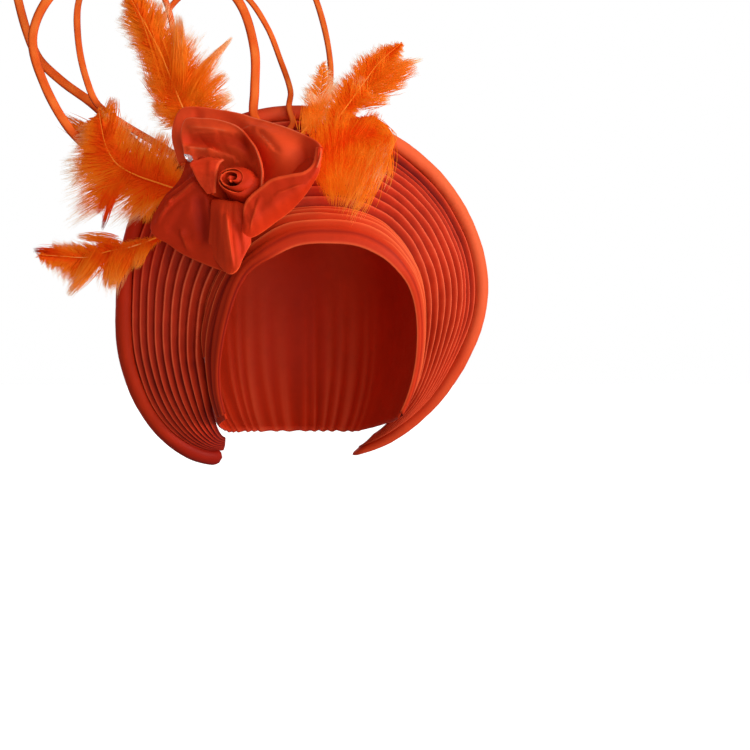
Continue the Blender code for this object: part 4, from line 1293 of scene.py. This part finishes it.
def make_petal(name, number, material):
    """A cloth petal: a sheet from the heart to its outline, its edge rolled back."""
    ribs = PETALS[name]
    folds = PETAL_FOLDS[name]
    roll = PETAL_ROLLS[name]

    @lru_cache(maxsize=None)
    def path(u):
        return petal_path(name, u * (len(ribs) - 1))

    def place(u, v):
        keys, points, outward, face = path(round(u, 5))
        spot = smooth_through(keys, points, min(v, PETAL_BODY))
        open_face = ease(0.05, PETAL_THROAT + 0.1, v) * ease(PETAL_BODY, PETAL_BODY - 0.2, v)
        raised, crest = pressed(folds, spot.x, spot.y)
        spot.z += raised * open_face
        gather = ripple(u * len(ribs) * 1.2, v * 1.1, number)
        spot += face * ((PETAL_GATHERS * gather + 0.07 * ripple(u * 26, v * 2.2, number + 30)) * open_face)
        spot += face * (PETAL_DENTS * ripple(spot.x * 0.30, spot.y * 0.30, number + 20))
        # How light the cloth is painted: each petal's painted light, painted shade in pressed grooves and
        # between gathers, and painted highlights on crests, at a folded petal's edge and round the rolled
        # edge
        crease = PETAL_PAINTED_LIGHT[name] + 0.06 * gather + crest * open_face + 0.07 * min(raised, 0)
        if name in FOLDED_PETALS:
            crease += 0.42 * peak(PETAL_THROAT - 0.02, 0.018, v)
        if v > PETAL_BODY:
            turn = (v - PETAL_BODY) / (1 - PETAL_BODY) * math.radians(PETAL_ROLL_TURN)
            spot += outward * (roll * math.sin(turn)) - face * (roll * (1 - math.cos(turn)))
            crease += 0.34 * peak(0.8, 0.5, turn)
        return rose_point(*spot), clamp(crease)

    shape = new_grid(PETAL_COLUMNS, PETAL_ROWS, WEAVE_SPANS["petal"])
    lay_out(shape, place)
    return add_piece(name, shape, material, wall=PETAL_WALL, facing=rose_frame()[3])


def make_rose_bud(material):
    """The rosette's heart: a cloth rolled up on itself, domed over to a small spiral opening.

    The last half turn lies lower and looser, as a collar.
    """

    def place(u, v):
        angle = math.radians(BUD_END_ANGLE - 360 * BUD_WOUND * (1 - u))
        collar = ease(BUD_COLLAR, BUD_COLLAR + 0.10, u)
        radius = smooth_through(*BUD_WINDING, u)
        domed = ease(0.45, 1.0, v) * (1 - 0.24 * collar)
        radius *= 1 - (0.18 + 0.12 * u) * domed * domed
        squash = 1 - 0.14 * abs(math.sin(angle)) * (1 - collar)
        height = 1.5 + (BUD_HEIGHT - 2.5 * u - 2.6 * collar) * math.sin(math.pi / 2 * v) ** 0.8
        x = BUD_CENTRE[0] + BUD_SHIFT[0] * domed + radius * math.cos(angle)
        y = BUD_CENTRE[1] + BUD_SHIFT[1] * domed + radius * math.sin(angle) * squash
        dent = 0.45 * ripple(u * 9, v * 2, 31) + 0.2 * ripple(u * 30, v * 5, 32)
        # A painted highlight along the top of the lip
        lip = ease(0.93, 1.0, v)
        return rose_point(x, y, height + dent), 0.40 + 0.45 * lip

    shape = new_grid(BUD_COLUMNS, BUD_ROWS, WEAVE_SPANS["bud"])
    lay_out(shape, place)
    return add_piece("rose_bud", shape, material, wall=BUD_CLOTH, facing=rose_frame()[3])


def loop_leg(leg):
    """A loop's leg from its end on the pleats to the halo's roll, with facings."""
    lying = FAN_CREST + PIECE_GAP + LOOP_THICKNESS / 2
    middle = (leg["rim"] + leg["end"]) / 2
    points = []
    on_pleats = ((leg["end"], LOOP_END_SHARE), (middle, LOOP_MIDDLE_SHARE), (leg["rim"], LOOP_OUTER_SHARE))
    for angle, share in on_pleats:
        points.append((halo_point(angle, share, lying), halo_section(angle)[2]))
    seam, outward, forward, width = halo_section(leg["rim"])
    on_roll = ROLL_FORWARD + ROLL_THICKNESS / 2 + LOOP_LIFT + LOOP_THICKNESS / 2
    points.append((seam + outward * (width - ROLL_WIDTH * LOOP_ROLL_SHARE) + forward * on_roll, forward))
    return points


def make_loop(name, number, material):
    """A tall loop of stiffened strip, its cloth folded over a core and meeting along the back."""
    left, right = LOOPS[name]
    route = loop_leg(left)
    for row in LOOP_ROUTES[name]:
        route.append((Vector((row["x"], row["depth"], row["z"])), Vector((0, -1, 0))))
    route += reversed(loop_leg(right))
    places = [0.0]
    for (start, _), (end, _) in zip(route, route[1:]):
        places.append(places[-1] + (end - start).length)
    points = [point for point, _ in route]
    facings = [facing for _, facing in route]
    length = places[-1]

    @lru_cache(maxsize=None)
    def section(share):
        middle = smooth_through(places, points, length * share)
        ahead = smooth_through(places, points, length * share + LOOP_NEAR)
        behind = smooth_through(places, points, length * share - LOOP_NEAR)
        tangent = (ahead - behind).normalized()
        across = tangent.cross(smooth_through(places, facings, length * share)).normalized()
        return middle, across, across.cross(tangent)

    def place(u, v):
        middle, across, facing = section(round(u, 5))
        turn = 2 * math.pi * v
        end = math.sqrt(max(1 - (1 - min(min(u, 1 - u) * length / LOOP_END, 1)) ** 2, 0))
        width = (left["width"] + (right["width"] - left["width"]) * u) * end
        width *= 1 + 0.08 * ripple(u * length * 0.05, number, 40)
        thick = LOOP_THICKNESS * (0.9 + 0.1 * end) * end
        side = signed_power(math.cos(turn), 0.8)
        lift = signed_power(math.sin(turn), 0.9)
        hollowed = LOOP_HOLLOW * peak(0, 0.35, math.cos(turn))
        spot = middle + across * (side * width / 2) + facing * (lift * thick / 2 * (1 - hollowed))
        crumple = LOOP_DENTS * ripple(u * length * 0.18, turn, 41 + number)
        # Painted shade on the strip's sides and painted light on its middle, with uneven tone
        crease = 0.62 - 0.45 * abs(math.cos(turn)) ** 3 + 0.25 * ripple(u * length * 0.1, turn * 0.7, 42)
        return spot + facing * crumple * lift, clamp(crease)

    shape = new_grid(round(length / LOOP_STEP), LOOP_SIDES, (length, STRIP_SPAN))
    lay_out(shape, place)
    return add_piece(name, shape, material)


def strand_bundle(count, lengths):
    """A mesh of loose three-sided strands, whose points hold their side, step and strand number."""
    shape = bmesh.new()
    bmesh.ops.create_grid(shape, x_segments=BARB_SIDES, y_segments=lengths, size=0.5)
    for vert in shape.verts:
        side = round((vert.co.x + 0.5) * BARB_SIDES) % BARB_SIDES
        vert.co = (side, round((vert.co.y + 0.5) * lengths), 0)
    bmesh.ops.remove_doubles(shape, verts=shape.verts, dist=0.1)
    open_ends = [edge for edge in shape.edges if edge.is_boundary]
    bmesh.ops.holes_fill(shape, edges=open_ends, sides=0)
    mesh = finished_mesh("strand", shape)
    strand = add_object("strand", mesh)
    copies = strand.modifiers.new("copies", "ARRAY")
    copies.count = count
    copies.use_relative_offset = False
    copies.use_constant_offset = True
    copies.constant_offset_displace = (0, 0, 1)
    ready = strand.evaluated_get(bpy.context.evaluated_depsgraph_get())
    bundle = bpy.data.meshes.new_from_object(ready)
    bpy.data.objects.remove(strand, do_unlink=True)
    bpy.data.meshes.remove(mesh)
    return bundle


def lay_strands(strands, face, lengths=BARB_STEPS):
    """A bmesh of tapering strands, each bent from its start through its swing to its tip."""
    bundle = strand_bundle(len(strands), lengths)
    start, bend, tip, sway = (
        np.array([strand[key] for strand in strands])[:, None, :] for key in ("start", "bend", "tip", "sway")
    )
    width = np.array([strand["width"] for strand in strands])[:, None, None]
    shade = np.array([strand["shade"] for strand in strands])
    t = np.linspace(0, 1, lengths + 1)[None, :, None]
    middle = start * (1 - t) ** 2 + bend * (2 * t * (1 - t)) + tip * t**2 + sway * np.sin(2 * np.pi * t) * t
    across = np.cross(np.gradient(middle, axis=1), np.array(face))
    across /= np.linalg.norm(across, axis=2, keepdims=True) + 1e-9
    size = width * np.interp(t, *BARB_TAPER)
    sides = np.stack(
        [middle + across * size / 2, middle - across * size / 2, middle - np.array(face) * (size * 0.4)],
        axis=2,
    )
    codes = np.empty(len(bundle.vertices) * 3, dtype=np.float32)
    bundle.vertices.foreach_get("co", codes)
    side, step, strand = np.rint(codes.reshape(-1, 3)).astype(int).T
    bundle.vertices.foreach_set("co", (sides[strand, step, side] * MM).ravel())
    fold = bundle.attributes.new("fold", "FLOAT", "POINT")
    reached = shade[strand, 0] + (shade[strand, 1] - shade[strand, 0]) * (step / lengths) ** 1.6
    fold.data.foreach_set("value", reached)
    shape = bmesh.new()
    shape.from_mesh(bundle)
    bpy.data.meshes.remove(bundle)
    return shape


def add_quill(shape, points, thick):
    """A tapering quill through points."""
    fold = shape.verts.layers.float["fold"]
    made = bmesh.ops.create_grid(shape, x_segments=QUILL_SIDES, y_segments=len(points) - 1, size=0.5)["verts"]
    front = rose_frame()[3]
    for vert in made:
        turn = 2 * math.pi * (vert.co.x + 0.5)
        index = round((vert.co.y + 0.5) * (len(points) - 1))
        along = points[min(index + 1, len(points) - 1)] - points[max(index - 1, 0)]
        across = along.cross(front).normalized()
        size = thick / 2 * (1 - 0.8 * index / (len(points) - 1))
        vert.co = (points[index] + across * (size * math.cos(turn)) + front * (size * math.sin(turn))) * MM
        vert[fold] = QUILL_SHADE


def strayed(chance):
    """A small random vector."""
    return Vector((chance.random() - 0.5, chance.random() - 0.5, chance.random() - 0.5))


def lock_strands(lock, chance, bright=0.0):
    """Strands of one lock, spread where it leaves the vane and drawn together at its end."""
    front = rose_frame()[3]
    start = rose_point(*lock["start"])
    along = rose_point(*lock["end"]) - start
    side = along.cross(front).normalized()
    strands = []
    for _ in range(lock["strands"]):
        off = chance.gauss(0, 0.42)
        near = start + side * (off * lock["wide"]) - along * (0.30 * chance.random())
        reach = 1.04 - 0.45 * chance.random() ** 2
        narrow = lock["narrow"] + (lock["wide"] - lock["narrow"]) * (1 - reach)
        tip = start + along * reach + side * ((off + chance.gauss(0, 0.25)) * narrow)
        bend = near.lerp(tip, 0.5) + side * (lock["bow"] + 0.2 * off * lock["wide"])
        sway = strayed(chance)
        lift = front * chance.gauss(0.6, 0.9)
        strands.append(dict(
            start=near + lift, bend=bend + lift * 1.6, tip=tip + lift * 1.2, sway=sway * 2.4,
            width=0.30 + 0.30 * chance.random(), shade=(LOCK_SHADE + bright, lock["tip"] + bright),
        ))
    return strands


def vane_gap(name, side, place):
    """How much of a barb's reach is missing where the vane is parted."""
    missing = 0.0
    for gap in VANE_GAPS[name]:
        if gap["side"] == side:
            missing += gap["deep"] * peak(gap["place"], gap["wide"], place)
    return min(missing, 0.9)


def make_plume(name, number, material):
    """A dyed feather: a tapering quill set with fine barbs that hang together in locks."""
    rows = FEATHERS[name]
    plume = PLUMES[name]
    bright = plume["bright"]
    chance = random.Random(number)
    front = rose_frame()[3]
    angle = math.atan2(rows[0]["up"], rows[0]["across"])
    reach = bud_reach(math.degrees(angle)) + PIECE_GAP
    root = rose_point(reach * math.cos(angle), reach * math.sin(angle), QUILL_ROOT_HEIGHT)
    places = [root] + [rose_point(row["across"], row["up"], row["forward"]) for row in rows]
    rows = [dict(left=0.5, right=0.5, ahead=0)] + rows
    stations = range(len(rows))
    last = len(rows) - 1
    growth = (places[-1] - places[2]).normalized()
    right = growth.cross(front).normalized()
    run = [smooth_through(stations, places, place) for place in steps(0, last, QUILL_STEPS)]
    length = sum((far - near).length for near, far in zip(run, run[1:]))
    locks = length / LOCK_SPACING

    @lru_cache(maxsize=None)
    def quill(place):
        ahead = smooth_through(stations, places, place + 0.05)
        behind = smooth_through(stations, places, place - 0.05)
        return smooth_through(stations, places, place), (ahead - behind).normalized()

    strands = []
    for layer in BARB_LAYERS:
        for index in range(round(plume["barbs"] * layer["share"])):
            for side, column in ((-1, "left"), (1, "right")):
                place = 1.0 + (last - 1.0) * (index + chance.random()) / (plume["barbs"] * layer["share"])
                wide = smooth_through(stations, [row[column] for row in rows], place)
                lock_number = math.floor(place / last * locks + 0.5 * ripple(place * 3, side, number + 70))
                lock = ripple(lock_number * 3.7, side * 3, number + 50)
                wide *= layer["reach"] * (1 + plume["ragged"] * lock - 0.22 * chance.random())
                wide *= 1 - layer["parted"] * vane_gap(name, side, place / last)
                if wide < SHORTEST_BARB:
                    continue
                ahead = smooth_through(stations, [row["ahead"] for row in rows], place)
                lean = plume["lean"] * wide
                start = max(place - lean / length * last * 0.9, 0.6)
                middle, tangent = quill(round(start, 3))
                tip_middle = quill(round(place, 3))[0]
                barb = tangent.cross(front).normalized().lerp(right, min(wide / 10, 1) * 0.7).normalized()
                gathered = ((lock_number + 0.5) / locks * last - place) * length / last * 0.45
                tip = tip_middle + barb * (side * wide) + growth * (ahead + gathered + 2.0 * lock)
                tip += front * (3.0 * lock + 2.4 * (chance.random() - 0.5))
                tip -= Vector((0, 0, 1)) * (plume["droop"] * wide * (0.5 + chance.random()))
                bend = middle + tangent * (0.45 * lean) + barb * (side * wide * 0.38)
                bend += front * (1.6 + 1.5 * lock)
                sway = strayed(chance)
                far = min(1, 0.45 + wide / 55 + 0.40 * ease(0.62, 1.0, place / last))
                strands.append(dict(
                    start=middle, bend=bend, tip=tip, sway=sway * (2 * layer["waver"]),
                    width=layer["width"] * (0.75 + 0.5 * chance.random()),
                    shade=(BARB_SHADE + bright, layer["shade"] * far + 0.12 * lock + bright),
                ))
    for lock in LOCKS[name]:
        strands += lock_strands(lock, chance, bright)
    shape = lay_strands(strands, front)
    add_quill(shape, [point + front * QUILL_AHEAD for point in run], QUILL_WIDTH)
    return add_piece(name, shape, material)


def make_hanging_plume(material):
    """A plume of long fine strands that fall from behind the rosette over the pleats."""
    chance = random.Random(HANGING_SEED)
    front = rose_frame()[3]
    keys = [row["across"] for row in HANGING_PLUME]

    def curve(column, across):
        return smooth_through(keys, [Vector(row[column]) for row in HANGING_PLUME], across)

    strands = []
    for index in range(HANGING_STRANDS):
        across = (index + chance.random()) / HANGING_STRANDS
        lock = ripple(math.floor(across * HANGING_LOCKS) * 3.7, 0.5, HANGING_SEED)
        start = curve("start", across)
        bend = curve("bend", across)
        end = curve("end", across)
        short = 0.50 + 0.50 * chance.random() ** 0.7 + 0.20 * lock
        end = start.lerp(end, short) + (bend - start.lerp(end, 0.5)) * (1 - short)
        end += Vector((4.5 * lock + chance.gauss(0, 1.6), chance.gauss(0, 1.5)))
        bend += Vector((2.5 * lock + chance.gauss(0, 1.4), 0))
        start = start.lerp(curve("end", across), 0.30 * chance.random() ** 1.5)
        depth = 2.4 * (chance.random() - 0.5) + 1.6 * lock
        sway = Vector((chance.random() - 0.5, chance.random() - 0.5, 0)) * 1.6
        pale = 0.32 + 0.50 * across + 0.15 * lock
        start_depth, bend_depth, tip_depth = HANGING_DEPTHS
        strands.append(dict(
            start=rose_point(start.x, start.y, start_depth + depth),
            bend=rose_point(bend.x, bend.y, bend_depth + depth),
            tip=rose_point(end.x, end.y, tip_depth + depth),
            sway=sway.x * rose_frame()[1] + sway.y * front,
            width=0.34 + 0.55 * chance.random() ** 3,
            shade=(0.10 + 0.26 * across, pale),
        ))
    for lock in LOCKS["feather_5"]:
        strands += lock_strands(lock, chance)
    shape = lay_strands(strands, front, HANGING_STEPS)
    places = [rose_point(row["across"], row["up"], row["forward"]) for row in HANGING_QUILL]
    stations = range(len(places))
    run = [smooth_through(stations, places, place) for place in steps(0, stations[-1], HANGING_QUILL_STEPS)]
    add_quill(shape, run, HANGING_QUILL_WIDTH)
    return add_piece("feather_5", shape, material)


def make_floor():
    """Pale studio floor, well below the head tie."""
    shape = bmesh.new()
    bmesh.ops.create_grid(shape, x_segments=1, y_segments=1, size=FLOOR_SIZE)
    bmesh.ops.translate(shape, verts=shape.verts, vec=(0, 0, FLOOR_LEVEL))
    mesh = finished_mesh("studio_floor", shape)
    material = new_material("matt_paper")
    place = add_node(material, "ShaderNodeTexCoord")
    apart = add_node(material, "ShaderNodeVectorMath", {0: place.outputs["Object"]}, operation="LENGTH")
    glow = add_node(material, "ShaderNodeMapRange", {
        "Value": apart.outputs["Value"], "From Min": 0.5, "From Max": 6.0, "To Min": 0.60, "To Max": 0.78,
    })
    shader = add_node(material, "ShaderNodeBsdfPrincipled", {
        "Base Color": linear("#F4F4F4"),
        "Roughness": 0.9,
        "Emission Color": linear("#FFFFFF"),
        "Emission Strength": glow.outputs["Result"],
    })
    add_node(material, "ShaderNodeOutputMaterial", {"Surface": shader.outputs["BSDF"]})
    mesh.materials.append(material)
    floor = add_object("studio_floor", mesh)
    floor.visible_diffuse = False
    floor.visible_glossy = False


def add_sun(name, shines, energy, softness, colour):
    """A far light that shines one way."""
    lamp = bpy.data.lights.new(name, "SUN")
    lamp.energy = energy
    lamp.angle = math.radians(softness)
    lamp.color = linear(colour)[:3]
    light = add_object(name, lamp)
    light.rotation_euler = Vector(shines).to_track_quat("-Z", "Y").to_euler()


def make_studio():
    """Pale surroundings that light the piece less than they show.

    A low key light comes from the viewer's right, a broad soft one from the front, a weak one from behind.
    """
    world = bpy.data.worlds.new("studio")
    world.use_nodes = True
    world.node_tree.nodes.clear()
    white = (1, 1, 1, 1)
    seen = add_node(world, "ShaderNodeBackground", {"Color": white, "Strength": 1.0})
    lit = add_node(world, "ShaderNodeBackground", {"Color": white, "Strength": 0.28})
    path = add_node(world, "ShaderNodeLightPath")
    mix = add_node(world, "ShaderNodeMixShader", {
        "Fac": path.outputs["Is Camera Ray"], 1: lit.outputs["Background"], 2: seen.outputs["Background"],
    })
    add_node(world, "ShaderNodeOutputWorld", {"Surface": mix.outputs["Shader"]})
    bpy.context.scene.world = world
    for sun in SUNS:
        add_sun(**sun)
    bpy.context.scene.view_settings.view_transform = "Standard"


def make_camera():
    """A long level lens at the height of the band's lower ends, a little to the viewer's left."""
    lens = bpy.data.cameras.new("camera")
    lens.lens = CAMERA_LENS
    lens.sensor_width = 36
    lens.clip_start = 0.05
    camera = add_object("camera", lens)
    camera.location = Vector(CAMERA_PLACE) * MM
    camera.rotation_euler = Euler((math.radians(90), 0, math.radians(CAMERA_TURN)))
    bpy.context.scene.camera = camera


def dress():
    """Sets up the studio and makes every piece with its material."""
    make_camera()
    make_studio()
    make_floor()
    halo_cloth = woven_cloth("taffeta_halo", HALO_DYE_AND_SHADE, crumpled=0.12)
    roll_cloth = woven_cloth("taffeta_band", ROLL_DYE_AND_SHADE, crumpled=0.14)
    petal_cloth = woven_cloth("taffeta_petals", PETAL_DYE_AND_SHADE, crumpled=0.18)
    strip_cloth = woven_cloth("taffeta_strips", STRIP_DYE_AND_SHADE, crumpled=0.30)
    make_crown_cap(halo_cloth)
    make_pleated_fan(halo_cloth)
    make_rim_roll(roll_cloth)
    for number, fold in enumerate(BAND_FOLDS):
        make_band_fold(fold, number, roll_cloth)
    make_rose_bud(petal_cloth)
    for number, name in enumerate(PETALS):
        make_petal(name, number, petal_cloth)
    for number, name in enumerate(LOOPS):
        make_loop(name, number, strip_cloth)
    plume = dyed_barbs("dyed_feather_barbs")
    for number, name in enumerate(PLUMES):
        make_plume(name, number, plume)
    make_hanging_plume(plume)
    glass = clear_glass("cut_glass")
    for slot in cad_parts["stone_drop"].material_slots:
        slot.material = glass


dress()
